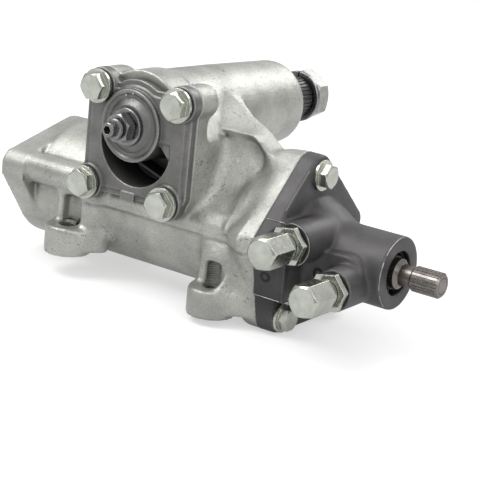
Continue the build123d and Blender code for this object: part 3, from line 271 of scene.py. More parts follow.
def plain_metal(name, light, dark, metallic, rough, grain, depth, spots=0.0, edge=None,
                bevel=0.0004, thread=None, hollow_shade=None):
    """A machined or plated metal with softened edges, fine mottling, optional painted shade in hollows, and
    optional threads with painted shade in their roots.

    thread is an axis, the places on it where the thread starts and ends, and its pitch.
    """
    made, tree, shader, where = new_material(name)
    clouds = spread(tree, noise(tree, where, 120.0, 4.0), 0.35, 0.68)
    base = blend_colour(tree, clouds, dark, light)
    fine = noise(tree, where, grain, 3.0, 0.6)
    if spots:
        base = shaded(tree, base, spread(tree, noise(tree, where, 420.0, 2.0), 0.64, 0.74, 1.0, 1.0 - spots))
    if edge is not None:
        base = blend_colour(tree, product(tree, edge_mask(tree, bevel), 0.8), base, edge)
    # Painted shade in hollows, from ambient occlusion
    base = shaded_in_hollows(tree, base, hollow_shade)
    gloss = spread(tree, fine, 0.3, 0.7, rough + 0.08, max(0.05, rough - 0.08))
    bumped = relief(tree, fine, 0.6, depth, rounded_normal(tree, bevel))
    if thread is not None:
        axis, start, end, pitch = thread
        along = on_axis(tree, where, axis)
        wave = math_of(tree, "SINE", product(tree, along, 2 * math.pi / pitch))
        past_start = math_of(tree, "GREATER_THAN", along, start)
        inside = product(tree, past_start, math_of(tree, "LESS_THAN", along, end))
        wave = product(tree, wave, inside)
        bumped = relief(tree, wave, 1.0, pitch * 0.35, bumped)
        # Painted shade in the thread's roots
        root = product(tree, inside, spread(tree, wave, 0.2, -1.0, 0.0, 0.7))
        base = blend_colour(tree, root, base, THREAD_ROOT_SHADE)
    connect(tree, shader, base_color=base, roughness=gloss, normal=bumped, metallic=metallic)
    return made


def soft_material(name, light, dark, rough):
    """Rubber, gasket sheet or plastic: no metal, fine mottled surface."""
    made, tree, shader, where = new_material(name)
    fine = noise(tree, where, 900.0, 4.0)
    base = blend_colour(tree, spread(tree, fine, 0.35, 0.65), dark, light)
    gloss = spread(tree, fine, 0.3, 0.7, rough + 0.1, rough - 0.05)
    bumped = relief(tree, fine, 0.6, 0.00008)
    connect(tree, shader, base_color=base, roughness=gloss, normal=bumped)
    return made


# Turning a machined CAD shape into a casting: remesh, then let soft corners flow

HOUSING_VOXEL = 0.0010
COVER_VOXEL = 0.0006
VALVE_VOXEL = 0.0008
# Every face is smoothed by this share at first, to take the voxels' steps off
LEAST_FLOW = 0.12


def add_lump(mesh, corners):
    """Add a convex lump through some points of the build frame to a mesh."""
    shape = bmesh.new()
    shape.from_mesh(mesh)
    made = [shape.verts.new(at(*corner)) for corner in corners]
    bmesh.ops.convex_hull(shape, input=made)
    shape.to_mesh(mesh)
    shape.free()


def remeshed(node, name, voxel, lumps=()):
    """A copy of a CAD node's mesh, with lumps joined to it, remeshed into small even faces."""
    raw_mesh = nodes[node].data.copy()
    for corners in lumps:
        add_lump(raw_mesh, corners)
    raw = add_object(name + "_raw", raw_mesh)
    weld = raw.modifiers.new("weld", "WELD")
    weld.merge_threshold = 0.000001
    remesh = raw.modifiers.new("remesh", "REMESH")
    remesh.mode = "VOXEL"
    remesh.voxel_size = voxel
    bpy.context.view_layer.update()
    evaluated = raw.evaluated_get(bpy.context.evaluated_depsgraph_get())
    mesh = bpy.data.meshes.new_from_object(evaluated)
    mesh.name = name
    mesh.materials.clear()
    bpy.data.objects.remove(raw)
    return add_object(name, mesh)


def points_of(mesh):
    """A mesh's points as an array in millimetres of the build frame."""
    points = np.empty(len(mesh.vertices) * 3)
    mesh.vertices.foreach_get("co", points)
    return points.reshape(-1, 3) / MM + np.array(BUILD_SHIFT)


def flow(mesh, points, weight, rounds):
    """Average each point with its neighbours, by its weight, several times."""
    edges = np.empty(len(mesh.edges) * 2, np.int64)
    mesh.edges.foreach_get("vertices", edges)
    first, second = edges[0::2], edges[1::2]
    count = len(points)
    share = np.bincount(first, minlength=count) + np.bincount(second, minlength=count)
    share = np.maximum(share, 1)
    for _ in range(rounds):
        for axis in range(3):
            line = points[:, axis]
            total = np.bincount(first, line[second], count) + np.bincount(second, line[first], count)
            points[:, axis] = line + 0.5 * weight * (total / share - line)


def ramp(value, start, end):
    """0 before start, 1 after end, and straight between them."""
    return np.clip((value - start) / (end - start), 0.0, 1.0)


def near_line(points, corners, reach):
    """1 on a bent line through the corners, falling to 0 at a distance from it."""
    nearest = np.full(len(points), np.inf)
    for first, last in zip(corners[:-1], corners[1:]):
        start, run = np.array(first), np.array(last) - np.array(first)
        along = np.clip((points - start) @ run / (run @ run), 0.0, 1.0)
        away = np.linalg.norm(points - start - along[:, None] * run, axis=1)
        nearest = np.minimum(nearest, away)
    return 1.0 - ramp(nearest, 0.4 * reach, reach)


def finish_skin(skin, points, node, material):
    """Write the points back, shade smoothly and let the skin stand for the CAD node."""
    skin.data.vertices.foreach_set("co", ((points - np.array(BUILD_SHIFT)) * MM).ravel())
    skin.data.update()
    skin.data.materials.append(material)
    skin.data.shade_smooth()
    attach(skin, "housing")
    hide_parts(node)


# The main casting. A CRISP pair holds where a machined face's own edge ends and the free cast skin begins

Foot = namedtuple("Foot", "side x pad rim melt_top wall_thread")
FEET = (
    Foot("left", x=-54.0, pad=-34.0, rim=-15.0, melt_top=11.4, wall_thread=3.4),
    Foot("right", x=66.0, pad=-44.0, rim=-26.0, melt_top=-0.6, wall_thread=15.0),
)
FOOT_Y = 45.0
FEET_TOP, FEET_RIGHT, FEET_INSIDE = 7.0, 95.0, 30.0
BOSS_RADIUS = 16.5
BOSS_CORE = 13.0
BOSS_FREE_SIDE, BOSS_FREE_DEPTH = 11.0, 52.0
BOSS_MELT, WINDOW_MELT = 0.12, 0.10
HOLE_WALL = 6.5
HOLE_CLEAR_HEIGHT = 16.0
MELT_LEFT, MELT_RIGHT, MELT_EDGE = 20.0, 33.0, 5.0
MELT_DEPTHS = (30.0, 35.0)
WINDOW_X, WINDOW_HALF_WIDTH = -52.0, 8.6
WINDOW_BOTTOM, WINDOW_TOP = -16.0, 5.0
POST_FRONT = 46.5
POST_CARVING = 8.0
POST_INSIDE, POST_RIGHT = 38.0, -22.0
POST_CORNER_X, POST_CORNER_Z = -28.0, 3.0
POST_LEAN = 13.0 / 18.0
BARREL_RADIUS = 41.0
BORE_RADIUS = 35.0
BORE_LEFT = -88.0
BORE_SLACK = 0.3
BORE_CRISP = (36.2, 38.0)
TUBE_CRISP = (22.6, 25.0)
COVER_SEAT_CRISP = (-46.3, -44.5)
VALVE_SEAT_X = 97.6
VALVE_FLANGE_LEFT = 94.0
END_PLATE_X = -90.5
TUBE_START = -1.0
OPENING_X, OPENING_Z, OPENING_RADIUS = 2.0, 51.7, 36.0
OPENING_FRONT, OPENING_BACK = -47.5, 20.0
CHAMBER_WALL_RADIUS = 33.0
BARREL_LIP = ((-26.0, 42.0, 4.5), (92.0, 42.0, 4.5))
LIP_LIFT = 2.6
LIP_LEFT, LIP_RISE, LIP_TOP = (-44.0, -32.0), (1.2, 3.6), 20.0
BARREL_FRONT = -36.0
WEB_CREST = ((35.5, -15.0, 70.5), (40.0, -15.0, 65.0), (65.3, -15.0, 66.0), (69.0, -15.0, 63.0))
POCKET_LEFT, POCKET_LEFT_SHIFT, POCKET_SHIFT_HEIGHTS = 37.0, 6.0, (50.0, 60.0)
POCKET_BACK, POCKET_BOTTOM, POCKET_TOP = 12.0, (14.0, 24.0), 78.0
POCKET_FILLING = (
    (40, 1, 68), (47, -13, 66), (64, -5, 66), (40, 1, 50), (45, -20, 50), (76, 1, 52), (76, -6, 50),
    (40, 1, 40), (45, -27, 34), (74, -12, 37), (45, -28, 28), (60, -23, 30),
)
# How often the first smoothing, the cast corners, the pocket and the feet's melting are repeated
FIRST_ROUNDS, CORNER_ROUNDS, POCKET_ROUNDS, MELT_ROUNDS = 2, 16, 110, 50
# By the right front foot: above its groove, from the groove to the flange, and from the boss up to that wall
FRONT_FOOT_FILLINGS = (
    (
        (53, -38, -10), (97, -38, -10), (53, -46.3, -10), (97, -46.3, -10),
        (51, -38, 2), (97, -38, 2), (51, -40.9, 2), (97, -41.5, 2),
    ),
    (
        (76, -30, -30), (97, -30, -30), (76, -46.0, -30), (97, -43.5, -30),
        (76, -38, -8), (97, -38, -8), (76, -46.3, -8), (97, -46.3, -8),
    ),
    (
        (72, -44, -27), (73, -57, -27), (81, -44, -27), (80, -50.5, -27),
        (82, -42, -12), (79, -46.3, -12), (76, -46.3, -16),
    ),
)


def casting_lumps():
    """Fillings that round out the web's pocket and join the right feet to the walls beside them."""
    lumps = [POCKET_FILLING]
    for flip in (1, -1):
        lumps += [[(x, flip * y, z) for x, y, z in filling] for filling in FRONT_FOOT_FILLINGS]
    return lumps


def cast_mask(x, y, z):
    """1 on the cast skin, and 0 on the bores and seats, which stay crisp."""
    off_bore = ramp(np.hypot(y, z), *BORE_CRISP)
    tube = np.hypot(x, z - SHAFT_HEIGHT)
    free = np.maximum(off_bore, x < END_PLATE_X)
    free = np.minimum(free, np.maximum(ramp(tube, *TUBE_CRISP), y < TUBE_START))
    free = np.minimum(free, ramp(y, *COVER_SEAT_CRISP))
    free = np.minimum(free, ramp(VALVE_SEAT_X - x, 0.0, 1.5))
    in_opening = (np.hypot(x - OPENING_X, z - OPENING_Z) < OPENING_RADIUS) & (tube < CHAMBER_WALL_RADIUS)
    free = np.where(in_opening & (y > OPENING_FRONT) & (y < OPENING_BACK), 0.0, free)
    by_feet = (z < FEET_TOP) & (np.abs(y) > FEET_INSIDE) & (x < FEET_RIGHT)
    return np.where(by_feet, np.maximum(free, off_bore), free)


def foot_masks(x, y, z, free):
    """The cast skin without the feet's pads and threads, and how far the feet melt into the barrel."""
    depth = np.abs(y)
    melt = np.zeros(len(x))
    for foot in FEET:
        reach = np.hypot(x - foot.x, depth - FOOT_Y)
        free = np.where(reach < BOSS_RADIUS, np.minimum(free, ramp(z - foot.pad, 0.4, 1.6)), free)
        free = np.where((reach < HOLE_WALL) & (z < foot.rim - 0.8), 0.0, free)
        near = ramp(x, foot.x - MELT_LEFT, foot.x - MELT_LEFT + MELT_EDGE)
        near *= ramp(foot.x + MELT_RIGHT - x, 0.0, MELT_EDGE) * ramp(depth, *MELT_DEPTHS)
        near *= ramp(z, foot.pad + 1.0, foot.pad + 5.0) * ramp(foot.melt_top - z, 0.0, MELT_EDGE)
        outer_side = (x < foot.x + BOSS_FREE_SIDE) | (depth > BOSS_FREE_DEPTH)
        boss = (reach < BOSS_RADIUS + 0.1) & (reach > BOSS_CORE) & (z < foot.rim + 0.6) & outer_side
        near = np.where(boss, BOSS_MELT, near)
        near = np.where((reach < HOLE_WALL + 0.5) & (z < foot.rim + HOLE_CLEAR_HEIGHT), 0.0, near)
        melt = np.maximum(melt, near)
    window = (np.abs(x - WINDOW_X) < WINDOW_HALF_WIDTH) & (z > WINDOW_BOTTOM) & (z < WINDOW_TOP)
    return free, np.where(window, WINDOW_MELT, melt)


def carve_left_posts(points):
    """Slope the left posts back to the barrel, to the right of their windows."""
    x, y, z = points.T
    depth = np.abs(y)
    slope_start = POST_CORNER_X + (z - POST_CORNER_Z) * POST_LEAN
    beside = ramp(x, slope_start, slope_start + 10.0) * (x < POST_RIGHT) * (depth > POST_INSIDE)
    beside *= (z > WINDOW_BOTTOM + 0.8) & (z < WINDOW_TOP)
    barrel = np.sqrt(np.maximum(BARREL_RADIUS ** 2 - z ** 2, 0.0))
    carved = np.maximum(POST_FRONT - POST_CARVING * beside, barrel)
    points[:, 1] = np.where((beside > 0) & (depth > carved), np.sign(y) * carved, y)


def pocket_mask(x, y, z):
    """1 where the web's pocket and the walls round it flow into each other."""
    left = POCKET_LEFT + POCKET_LEFT_SHIFT * ramp(z, *POCKET_SHIFT_HEIGHTS)
    across = ramp(x, left, left + 6.0) * ramp(VALVE_FLANGE_LEFT - x, 0.0, 5.0)
    inside = across * ramp(POCKET_BACK - y, 0.0, 8.0)
    return inside * ramp(z, *POCKET_BOTTOM) * ramp(POCKET_TOP - z, 0.0, 6.0)


def lift_front_lip(points):
    """Draw the skin out to the lip that runs along the barrel's front."""
    x, y, z = points.T
    along = ramp(x, *LIP_LEFT) * ramp(VALVE_FLANGE_LEFT - x, 0.0, 6.0) * (y < BARREL_FRONT)
    points[:, 1] = y - LIP_LIFT * along * ramp(z, *LIP_RISE) * ramp(LIP_TOP - z, 0.0, 9.0)


def clear_bore(points):
    """Draw the bore's faceted skin out a little, so that the piston passes it."""
    bore = np.hypot(points[:, 1], points[:, 2])
    on_bore = (bore > BORE_RADIUS - 1.5) & (bore < BORE_RADIUS + 0.7) & (points[:, 0] > BORE_LEFT)
    points[:, 1:] *= np.where(on_bore, (BORE_RADIUS + BORE_SLACK) / bore, 1.0)[:, None]


def gear_housing_skin(material):
    """The light-alloy casting, with flowing corners and crisp machined faces."""
    skin = remeshed("gear_housing", "housing_casting", HOUSING_VOXEL, casting_lumps())
    points = points_of(skin.data)
    free, melt = foot_masks(*points.T, cast_mask(*points.T))
    carve_left_posts(points)
    flow(skin.data, points, LEAST_FLOW + (1.0 - LEAST_FLOW) * free, FIRST_ROUNDS)
    crest = near_line(points, WEB_CREST, 3.0)
    lip = near_line(np.column_stack((points[:, 0], np.abs(points[:, 1]), points[:, 2])), BARREL_LIP, 4.0)
    flow(skin.data, points, free * (1.0 - 0.85 * crest) * (1.0 - 0.8 * lip), CORNER_ROUNDS)
    flow(skin.data, points, free * pocket_mask(*points.T) * (1.0 - 0.96 * crest), POCKET_ROUNDS)
    flow(skin.data, points, free * melt, MELT_ROUNDS)
    lift_front_lip(points)
    clear_bore(points)
    finish_skin(skin, points, "gear_housing", material)


# The side cover

CRESCENT_CORNER = ((18.0, 57.5), (31.5, 57.5), (31.5, 44.0))
CRESCENT_DEPTHS = (-52.9, -28.0)
COVER_FACE_Y = -47.9


def side_cover_skin(material):
    """The side cover, with small even edge rounds and a filled corner in its crescent."""
    filling = [(x, y, z) for y in CRESCENT_DEPTHS for x, z in CRESCENT_CORNER]
    skin = remeshed("side_cover", "cover_casting", COVER_VOXEL, [filling])
    points = points_of(skin.data)
    flow(skin.data, points, 0.1 + 0.6 * ramp(COVER_FACE_Y - points[:, 1], 0.0, 0.8), 3)
    finish_skin(skin, points, "side_cover", material)


# The valve housing

UPPER_PORT = (120.0, -45.5, 14.0)
LOWER_PORT = (150.0, -43.0, -7.5)
PORT_RADIUS = 13.0
PORT_SEAT_DEPTH = 17.0
VALVE_BOLT_CIRCLE = 48.5
VALVE_BOLT_ANGLES = (93.0, 230.5, 309.5)
BOLT_SEAT_RADIUS, BOLT_SEAT_END_X = 10.6, 112.0
VALVE_BORE_CRISP = (19.0, 21.0)
VALVE_FLANGE_CRISP = (98.8, 100.2)
SNOUT_FACE_X = 167.5
BLOCK_TOP_EDGE = [(98.0, -43.0, 25.0), (112.0, -43.2, 25.0)]
BLOCK_LOW_EDGE = [(98.0, -46.0, -23.0), (119.0, -46.0, -23.0), (119.0, -47.5, 0.0)]
SEAT_FLOW = 0.05
VALVE_ROUNDS = 22


def rim_points(x, y, z, radius, start, end):
    """Points of an arc in a front plane, with the angles in degrees."""
    turns = np.radians(np.arange(start, end + 1, 10))
    return [(x + radius * math.cos(turn), y, z + radius * math.sin(turn)) for turn in turns]


def valve_housing_skin(material):
    """The iron valve housing: deep flowing corners outside, true bores and port seats."""
    skin = remeshed("valve_housing", "valve_casting", VALVE_VOXEL)
    points = points_of(skin.data)
    x, y, z = points.T
    free = np.where(x < SNOUT_FACE_X, ramp(np.hypot(y, z), *VALVE_BORE_CRISP), SEAT_FLOW)
    free = np.minimum(free, ramp(x, *VALVE_FLANGE_CRISP))
    for port_x, seat_y, port_z in (UPPER_PORT, LOWER_PORT):
        on_seat = (np.hypot(x - port_x, z - port_z) < PORT_RADIUS - 0.6) & (y < seat_y + PORT_SEAT_DEPTH)
        free = np.where(on_seat, SEAT_FLOW, free)
    for turn in np.radians(VALVE_BOLT_ANGLES):
        reach = np.hypot(y - VALVE_BOLT_CIRCLE * math.cos(turn), z - VALVE_BOLT_CIRCLE * math.sin(turn))
        free = np.where((reach < BOLT_SEAT_RADIUS) & (x < BOLT_SEAT_END_X), SEAT_FLOW, free)
    upper_rim = rim_points(*UPPER_PORT, PORT_RADIUS, -80, 100)
    lower_rim = rim_points(*LOWER_PORT, PORT_RADIUS, -140, 100)
    edges = near_line(points, BLOCK_TOP_EDGE + upper_rim[::-1], 3.0)
    edges = np.maximum(edges, near_line(points, lower_rim, 2.5))
    edges = np.maximum(edges, near_line(points, BLOCK_LOW_EDGE, 3.0))
    flow(skin.data, points, (LEAST_FLOW + (1.0 - LEAST_FLOW) * free) * (1.0 - 0.8 * edges), FIRST_ROUNDS)
    flow(skin.data, points, free * (1.0 - 0.95 * edges), VALVE_ROUNDS)
    finish_skin(skin, points, "valve_housing", material)


# Small raised pieces: worn lines, pips and threads

def bead(name, corners, radius, material):
    """A thin raised line through points of the build frame, as a mesh on the housing."""
    curve = bpy.data.curves.new(name, "CURVE")
    curve.dimensions = "3D"
    curve.bevel_depth = radius * MM
    curve.bevel_resolution = 2
    curve.use_fill_caps = True
    line = curve.splines.new("POLY")
    line.points.add(len(corners) - 1)
    for point, corner in zip(line.points, corners):
        point.co = (*at(*corner), 1.0)
    source = add_object(name + "_line", curve)
    bpy.context.view_layer.update()
    mesh = bpy.data.meshes.new_from_object(source.evaluated_get(bpy.context.evaluated_depsgraph_get()))
    bpy.data.objects.remove(source)
    bpy.data.curves.remove(curve)
    mesh.name = name
    mesh.materials.clear()
    mesh.materials.append(material)
    mesh.shade_smooth()
    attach(add_object(name, mesh), "housing")


THREAD_PITCH = 1.5
THREAD_STEPS = 28
# Root or crest, and the place along the axis in pitches
THREAD_PROFILE = ((0, -0.42), (1, -0.08), (1, 0.08), (0, 0.42))


def thread_section(centre, axis, radii, start, number):
    """Four points across a thread's ridge, at one step of its turn."""
    turn = 2 * math.pi * number / THREAD_STEPS
    along = start + THREAD_PITCH * number / THREAD_STEPS
    section = []
    for level, lift in THREAD_PROFILE:
        across, other = radii[level] * math.cos(turn), radii[level] * math.sin(turn)
        height = along + lift * THREAD_PITCH
        if axis == "Z":
            section.append((centre[0] + across, centre[1] + other, height))
        else:
            section.append((centre[0] + other, height, centre[1] + across))
    return section


def thread_ridge(name, centre, axis, radii, start, end, body, material, front=math.inf):
    """A V-shaped thread with its root and crest radii, along Y or Z, left out past a distance in Y."""
    runs = [[]]
    for number in range(int((end - start) / THREAD_PITCH * THREAD_STEPS) + 1):
        section = thread_section(centre, axis, radii, start, number)
        if abs(section[0][1]) > front:
            runs.append([])
        else:
            runs[-1].append(section)
    points, faces = [], []
    for run in runs:
        if len(run) < 3:
            continue
        first = len(points)
        for section in run:
            points.extend(at(*spot) for spot in section)
        last = len(points) - 4
        for low in range(first, last, 4):
            for side in range(4):
                after = (side + 1) % 4
                faces.append((low + side, low + after, low + 4 + after, low + 4 + side))
        faces.append((first, first + 3, first + 2, first + 1))
        faces.append((last, last + 1, last + 2, last + 3))
    mesh = bpy.data.meshes.new(name)
    mesh.from_pydata(points, [], faces)
    mesh.materials.append(material)
    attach(add_object(name, mesh), body)


# Materials; grain and blotch are in features per metre, and depth, bevel and other lengths in metres

# Where a material is given a reach and a darkest factor, shade is painted into its hollows
alloy = cast_metal(
    "alloy_cast", colour(0.525, 0.53, 0.49), colour(0.375, 0.38, 0.357), colour(0.84, 0.84, 0.80),
    metallic=0.76, rough=0.41, grain=1300.0, depth=0.00033, blotch=45.0, wear=0.5, crease_shade=0.5,
    pits=0.6, hollow_shade=(0.008, 0.58), sparkle=0.15,
    coarse=(0, at(25.0, 0, 0).x, at(50.0, 0, 0).x),
)
thread_alloy = plain_metal(
    "thread_alloy", colour(0.50, 0.50, 0.47), colour(0.36, 0.36, 0.34),
    metallic=0.8, rough=0.38, grain=900.0, depth=0.00003,
    bevel=0.0002, hollow_shade=(0.0022, 0.06),
)
cover_cast = cast_metal(
    "cover_cast", colour(0.215, 0.213, 0.206), colour(0.144, 0.143, 0.138), colour(0.66, 0.65, 0.65),
    metallic=0.65, rough=0.40, grain=2200.0, depth=0.00008, blotch=60.0, wear=1.0, crease_shade=0.5,
    pits=0.5, edge_width=0.0009, hollow_shade=(0.004, 0.40), worn_from=0.512,
    # Painted shade, deeper into the crescent
    deep=(1, at(0, -51.0, 0).y, at(0, -37.0, 0).y, 0.36),
)
valve_cast = cast_metal(
    "valve_cast", colour(0.098, 0.093, 0.095), colour(0.071, 0.068, 0.070), colour(0.62, 0.60, 0.57),
    metallic=0.35, rough=0.50, grain=2400.0, depth=0.00005, blotch=60.0, wear=0.8, crease_shade=0.45,
    edge_width=0.0011, hollow_shade=(0.008, 0.45),
    # Painted shade on the block's front faces
    deep=(1, at(0, -42.0, 0).y, at(0, -44.6, 0).y, 0.62),
    marks=((at(106.5, -45.0, -9.0), 0.0026), (at(129.5, -25.0, -5.0), 0.0026)),
)
zinc = plain_metal(
    "zinc_plate", colour(0.56, 0.575, 0.52), colour(0.44, 0.455, 0.405),
    metallic=0.95, rough=0.22, grain=500.0, depth=0.000012,
    spots=0.12, edge=colour(0.90, 0.91, 0.86), bevel=0.0005,
)
nut_steel = plain_metal(
    "nut_steel", colour(0.40, 0.41, 0.39), colour(0.29, 0.30, 0.28),
    metallic=0.9, rough=0.30, grain=900.0, depth=0.00003,
    spots=0.2, edge=colour(0.75, 0.76, 0.73), bevel=0.0005,
)
input_steel = plain_metal(
    "input_steel", colour(0.245, 0.225, 0.21), colour(0.165, 0.15, 0.14),
    metallic=0.95, rough=0.28, grain=700.0, depth=0.00001,
    edge=colour(0.50, 0.48, 0.46), bevel=0.00015, hollow_shade=(0.002, 0.4),
)
bright = plain_metal(
    "bright_steel", colour(0.66, 0.65, 0.63), colour(0.48, 0.47, 0.46),
    metallic=1.0, rough=0.22, grain=1200.0, depth=0.00002,
    edge=colour(0.9, 0.9, 0.9), bevel=0.0002,
)
adjuster_steel = plain_metal(
    "adjuster_steel", colour(0.30, 0.30, 0.305), colour(0.20, 0.20, 0.205),
    metallic=0.95, rough=0.30, grain=900.0, depth=0.00002,
    edge=colour(0.75, 0.75, 0.75), bevel=0.0004, hollow_shade=(0.002, 0.3),
)
sector_steel = plain_metal(
    "sector_steel", colour(0.12, 0.12, 0.12), colour(0.05, 0.05, 0.05),
    metallic=0.9, rough=0.35, grain=900.0, depth=0.00003,
    edge=colour(0.55, 0.55, 0.55), bevel=0.0003,
    thread=(1, at(0, 131.0, 0).y, at(0, 151.0, 0).y, THREAD_PITCH * MM),
)
dark_steel = plain_metal(
    "dark_steel", colour(0.05, 0.05, 0.05), colour(0.025, 0.025, 0.025),
    metallic=0.6, rough=0.35, grain=900.0, depth=0.00003,
    edge=colour(0.2, 0.2, 0.2), bevel=0.0002,
)
ground_steel = plain_metal(
    "ground_steel", colour(0.72, 0.72, 0.72), colour(0.60, 0.60, 0.60),
    metallic=1.0, rough=0.18, grain=1200.0, depth=0.00001,
    edge=colour(0.9, 0.9, 0.9), bevel=0.0002,
)
bronze = plain_metal(
    "bronze_bush", colour(0.50, 0.36, 0.18), colour(0.38, 0.26, 0.12),
    metallic=0.95, rough=0.3, grain=900.0, depth=0.00002,
    edge=colour(0.7, 0.55, 0.3), bevel=0.0002,
)
copper = plain_metal(
    "copper_ring", colour(0.05, 0.048, 0.045), colour(0.03, 0.03, 0.03),
    metallic=0.3, rough=0.45, grain=900.0, depth=0.00003,
)
seam_iron = cast_metal(
    "seam_iron", colour(0.20, 0.19, 0.19), colour(0.15, 0.145, 0.145), colour(0.22, 0.21, 0.21),
    metallic=0.35, rough=0.5, grain=2400.0, depth=0.00005,
)
worn_iron = plain_metal(
    "worn_iron", colour(0.62, 0.60, 0.57), colour(0.14, 0.135, 0.135),
    metallic=0.8, rough=0.35, grain=400.0, depth=0.00002,
)
rubber = soft_material("seal_rubber", colour(0.022, 0.022, 0.024), colour(0.012, 0.012, 0.013), rough=0.5)
gasket = soft_material("gasket_sheet", colour(0.30, 0.30, 0.30), colour(0.22, 0.22, 0.22), rough=0.7)
plastic = soft_material("ring_plastic", colour(0.07, 0.06, 0.05), colour(0.05, 0.045, 0.04), rough=0.4)

finishes = {
    "cover_gasket": gasket,
    "cover_bolts": zinc,
    "cover_washers": zinc,
    "adjuster_screw": adjuster_steel,
    "adjuster_washer": adjuster_steel,
    "adjuster_lock_nut": adjuster_steel,
    "adjuster_retainer": bright,
    "sector_shaft": sector_steel,
    "pitman_lock_washer": adjuster_steel,
    "pitman_nut": nut_steel,
    "cover_bearing": bronze,
    "sector_bearing_inner": ground_steel,
    "sector_bearing_outer": ground_steel,
    "sector_seal": rubber,
    "sector_snap_ring": dark_steel,
    "sector_dust_seal": rubber,
    "rack_piston": bright,
    "piston_plug": adjuster_steel,
    "piston_ring": plastic,
    "balls": ground_steel,
    "ball_guide": bright,
    "guide_clamp": bright,
    "guide_screws": dark_steel,
    "worm_shaft": bright,
    "thrust_bearings": ground_steel,
    "bearing_lock_nut": adjuster_steel,
    "valve_sleeve": bright,
    "sleeve_rings": plastic,
    "input_shaft": input_steel,
    "torsion_bar": ground_steel,
    "input_bearing": ground_steel,
    "input_seal": rubber,
    "input_snap_ring": dark_steel,
    "input_dust_ring": rubber,
    "housing_o_ring": rubber,
    "valve_bolts": zinc,
    "port_plug_1": zinc,
    "port_plug_2": zinc,
    "port_washer_1": copper,
    "port_washer_2": copper,
}
for node, material in finishes.items():
    for slot in nodes[node].material_slots:
        slot.link = "OBJECT"
        slot.material = material

gear_housing_skin(alloy)
side_cover_skin(cover_cast)
valve_housing_skin(valve_cast)

HOLE_THREAD = (5.2, 4.45)
WALL_THREAD = (6.2, 5.2)
WALL_THREAD_FRONT = 45.5
ADJUSTER_THREAD = (5.9, 6.45)
ADJUSTER_THREAD_ENDS = (-73.2, -70.6)
for side, end_name in ((-1, "front"), (1, "rear")):
    for foot in FEET:
        ending = f"{end_name}_{foot.side}"
        centre = (foot.x, side * FOOT_Y)
        thread_ridge(f"foot_thread_{ending}", centre, "Z", HOLE_THREAD, foot.pad + 2.0, foot.rim - 0.8,
                     "housing", thread_alloy)
        wall_end = foot.rim + foot.wall_thread
        thread_ridge(f"wall_thread_{ending}", centre, "Z", WALL_THREAD, foot.rim + 0.6, wall_end,
                     "housing", thread_alloy, WALL_THREAD_FRONT)
thread_ridge("adjuster_thread", (0.0, SHAFT_HEIGHT), "Y", ADJUSTER_THREAD, *ADJUSTER_THREAD_ENDS,
             "adjuster", adjuster_steel)

# The casting seam on the valve flange, worn lines on the valve housing, and small pips on the cover's hub
FLANGE_SEAM = ((110.0, -17.5, 53.0), (110.0, -26.5, 44.2), (110.0, -36.0, 35.0), (110.0, -39.4, 31.3))
SNOUT_EDGE_X, SNOUT_EDGE_RADIUS = 169.6, 22.55
SNOUT_WORN_SPANS = ((96, 140), (152, 196), (206, 236))
PIP_PLACES = ((-4.4, 82.1), (1.0, 83.8), (-3.0, 77.9), (1.1, 79.2))
PIP_BACK, PIP_FRONT = -56.6, -57.3
bead("flange_seam", FLANGE_SEAM, 0.45, seam_iron)
bead("block_worn_edge", ((99.0, -43.2, 25.0), (113.0, -43.4, 25.2)), 0.3, worn_iron)
bead("block_low_worn_edge", ((99.0, -47.5, -22.3), (117.5, -47.5, -22.3)), 0.25, worn_iron)
bead("port_rim_worn_edge", rim_points(120.0, -45.4, 14.0, 12.9, -60, 100), 0.3, worn_iron)
for number, (first, last) in enumerate(SNOUT_WORN_SPANS):
    turns = np.radians(np.arange(first, last + 1, 4))
    arc = zip(SNOUT_EDGE_RADIUS * np.cos(turns), SNOUT_EDGE_RADIUS * np.sin(turns))
    bead(f"snout_worn_edge_{number}", [(SNOUT_EDGE_X, *spot) for spot in arc], 0.3, worn_iron)
for number, (pip_x, pip_z) in enumerate(PIP_PLACES):
    bead(f"hub_pip_{number}", ((pip_x, PIP_BACK, pip_z), (pip_x, PIP_FRONT, pip_z)), 0.6, cover_cast)


# Floor, background, lamps and camera

PART_MIDDLE = at(20, 20, 30)
FLOOR_GAP = 0.0004
FLOOR_HALF_WIDTH = 6.0
FLOOR_GLOW = 0.52
FLOOR_MIRROR_LOSS = 0.26
CAMERA_PLACE = Vector((0.58222, -0.90211, 0.20463))
CAMERA_AZIMUTH, CAMERA_ELEVATION, CAMERA_ROLL = math.radians(56.07), math.radians(16.21), math.radians(-5.86)
CAMERA_LENS = 114.8


def area_lamp(name, where, size, watts):
    """A round soft lamp that looks at the part."""
    data = bpy.data.lights.new(name, "AREA")
    data.shape = "DISK"
    data.size = size
    data.energy = watts
    lamp = add_object(name, data)
    lamp.location = where
    lamp.rotation_euler = (PART_MIDDLE - Vector(where)).to_track_quat("-Z", "Y").to_euler()


def seen_directly(tree):
    """1 for camera, glossy and transmission rays."""
    path = place(tree, "LightPath")
    rays = math_of(tree, "MAXIMUM", path.outputs["Is Camera Ray"], path.outputs["Is Glossy Ray"])
    return math_of(tree, "MAXIMUM", rays, path.outputs["Is Transmission Ray"])


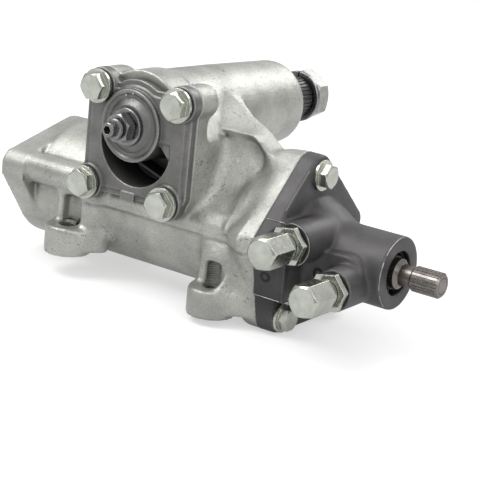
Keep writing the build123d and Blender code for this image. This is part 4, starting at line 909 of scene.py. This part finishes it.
def make_floor():
    """A wide pale floor that keeps the part's shadow."""
    level = cad_box[0].z - FLOOR_GAP
    size = FLOOR_HALF_WIDTH
    mesh = bpy.data.meshes.new("floor")
    corners = [(-size, -size, level), (size, -size, level), (size, size, level), (-size, size, level)]
    mesh.from_pydata(corners, [], [(0, 1, 2, 3)])
    floor = add_object("floor", mesh)
    made = bpy.data.materials.new("pale_floor")
    made.use_nodes = True
    tree = made.node_tree
    tree.nodes.clear()
    matt = place(tree, "BsdfDiffuse", {"Color": colour(0.60, 0.60, 0.60)})
    path = place(tree, "LightPath")
    mirrored = product(tree, path.outputs["Is Glossy Ray"], FLOOR_MIRROR_LOSS)
    shine = math_of(tree, "SUBTRACT", product(tree, seen_directly(tree), FLOOR_GLOW), mirrored)
    glow = place(tree, "Emission", {"Color": colour(1, 1, 1), "Strength": shine})
    both = place(tree, "AddShader", {0: matt.outputs[0], 1: glow.outputs[0]})
    place(tree, "OutputMaterial", {"Surface": both.outputs[0]})
    mesh.materials.append(made)


def make_world():
    """White behind the part, softer light on it, brighter from above."""
    world = bpy.data.worlds.new("studio")
    bpy.context.scene.world = world
    world.use_nodes = True
    tree = world.node_tree
    tree.nodes.clear()
    height = on_axis(tree, place(tree, "TexCoord").outputs["Generated"], 2)
    sky = spread(tree, height, -0.1, 0.9, 0.34, 0.80)
    path = place(tree, "LightPath")
    mirror = spread(tree, height, -0.1, 0.8, 0.32, 1.02)
    glossy = math_of(tree, "MAXIMUM", path.outputs["Is Glossy Ray"], path.outputs["Is Transmission Ray"])
    level = blend_value(tree, path.outputs["Is Camera Ray"], blend_value(tree, glossy, sky, mirror), 1.0)
    light = place(tree, "Background", {"Color": colour(1, 1, 1), "Strength": level})
    place(tree, "OutputWorld", {"Surface": light.outputs[0]})


def make_camera():
    """The camera at the photograph's place, with its slight roll."""
    data = bpy.data.cameras.new("camera")
    data.sensor_width = 36.0
    data.lens = CAMERA_LENS
    data.clip_start = 0.05
    data.clip_end = 20.0
    level = math.cos(CAMERA_ELEVATION)
    forward = Vector((
        -math.cos(CAMERA_AZIMUTH) * level, math.sin(CAMERA_AZIMUTH) * level, -math.sin(CAMERA_ELEVATION),
    ))
    right = forward.cross(Vector((0, 0, 1))).normalized()
    down = forward.cross(right)
    turned_right = right * math.cos(CAMERA_ROLL) + down * math.sin(CAMERA_ROLL)
    turned_down = down * math.cos(CAMERA_ROLL) - right * math.sin(CAMERA_ROLL)
    camera = add_object("camera", data)
    rows = zip(turned_right, -turned_down, -forward, CAMERA_PLACE)
    camera.matrix_world = Matrix((*rows, (0, 0, 0, 1)))
    bpy.context.scene.camera = camera


make_floor()
make_world()
make_camera()
area_lamp("key", (-0.55, -0.75, 1.05), size=0.8, watts=9.0)
area_lamp("fill", (1.1, -0.5, 0.55), size=0.9, watts=4.0)
area_lamp("back", (0.2, 1.1, 0.9), size=0.8, watts=6.0)
bpy.context.scene.view_settings.view_transform = "Standard"
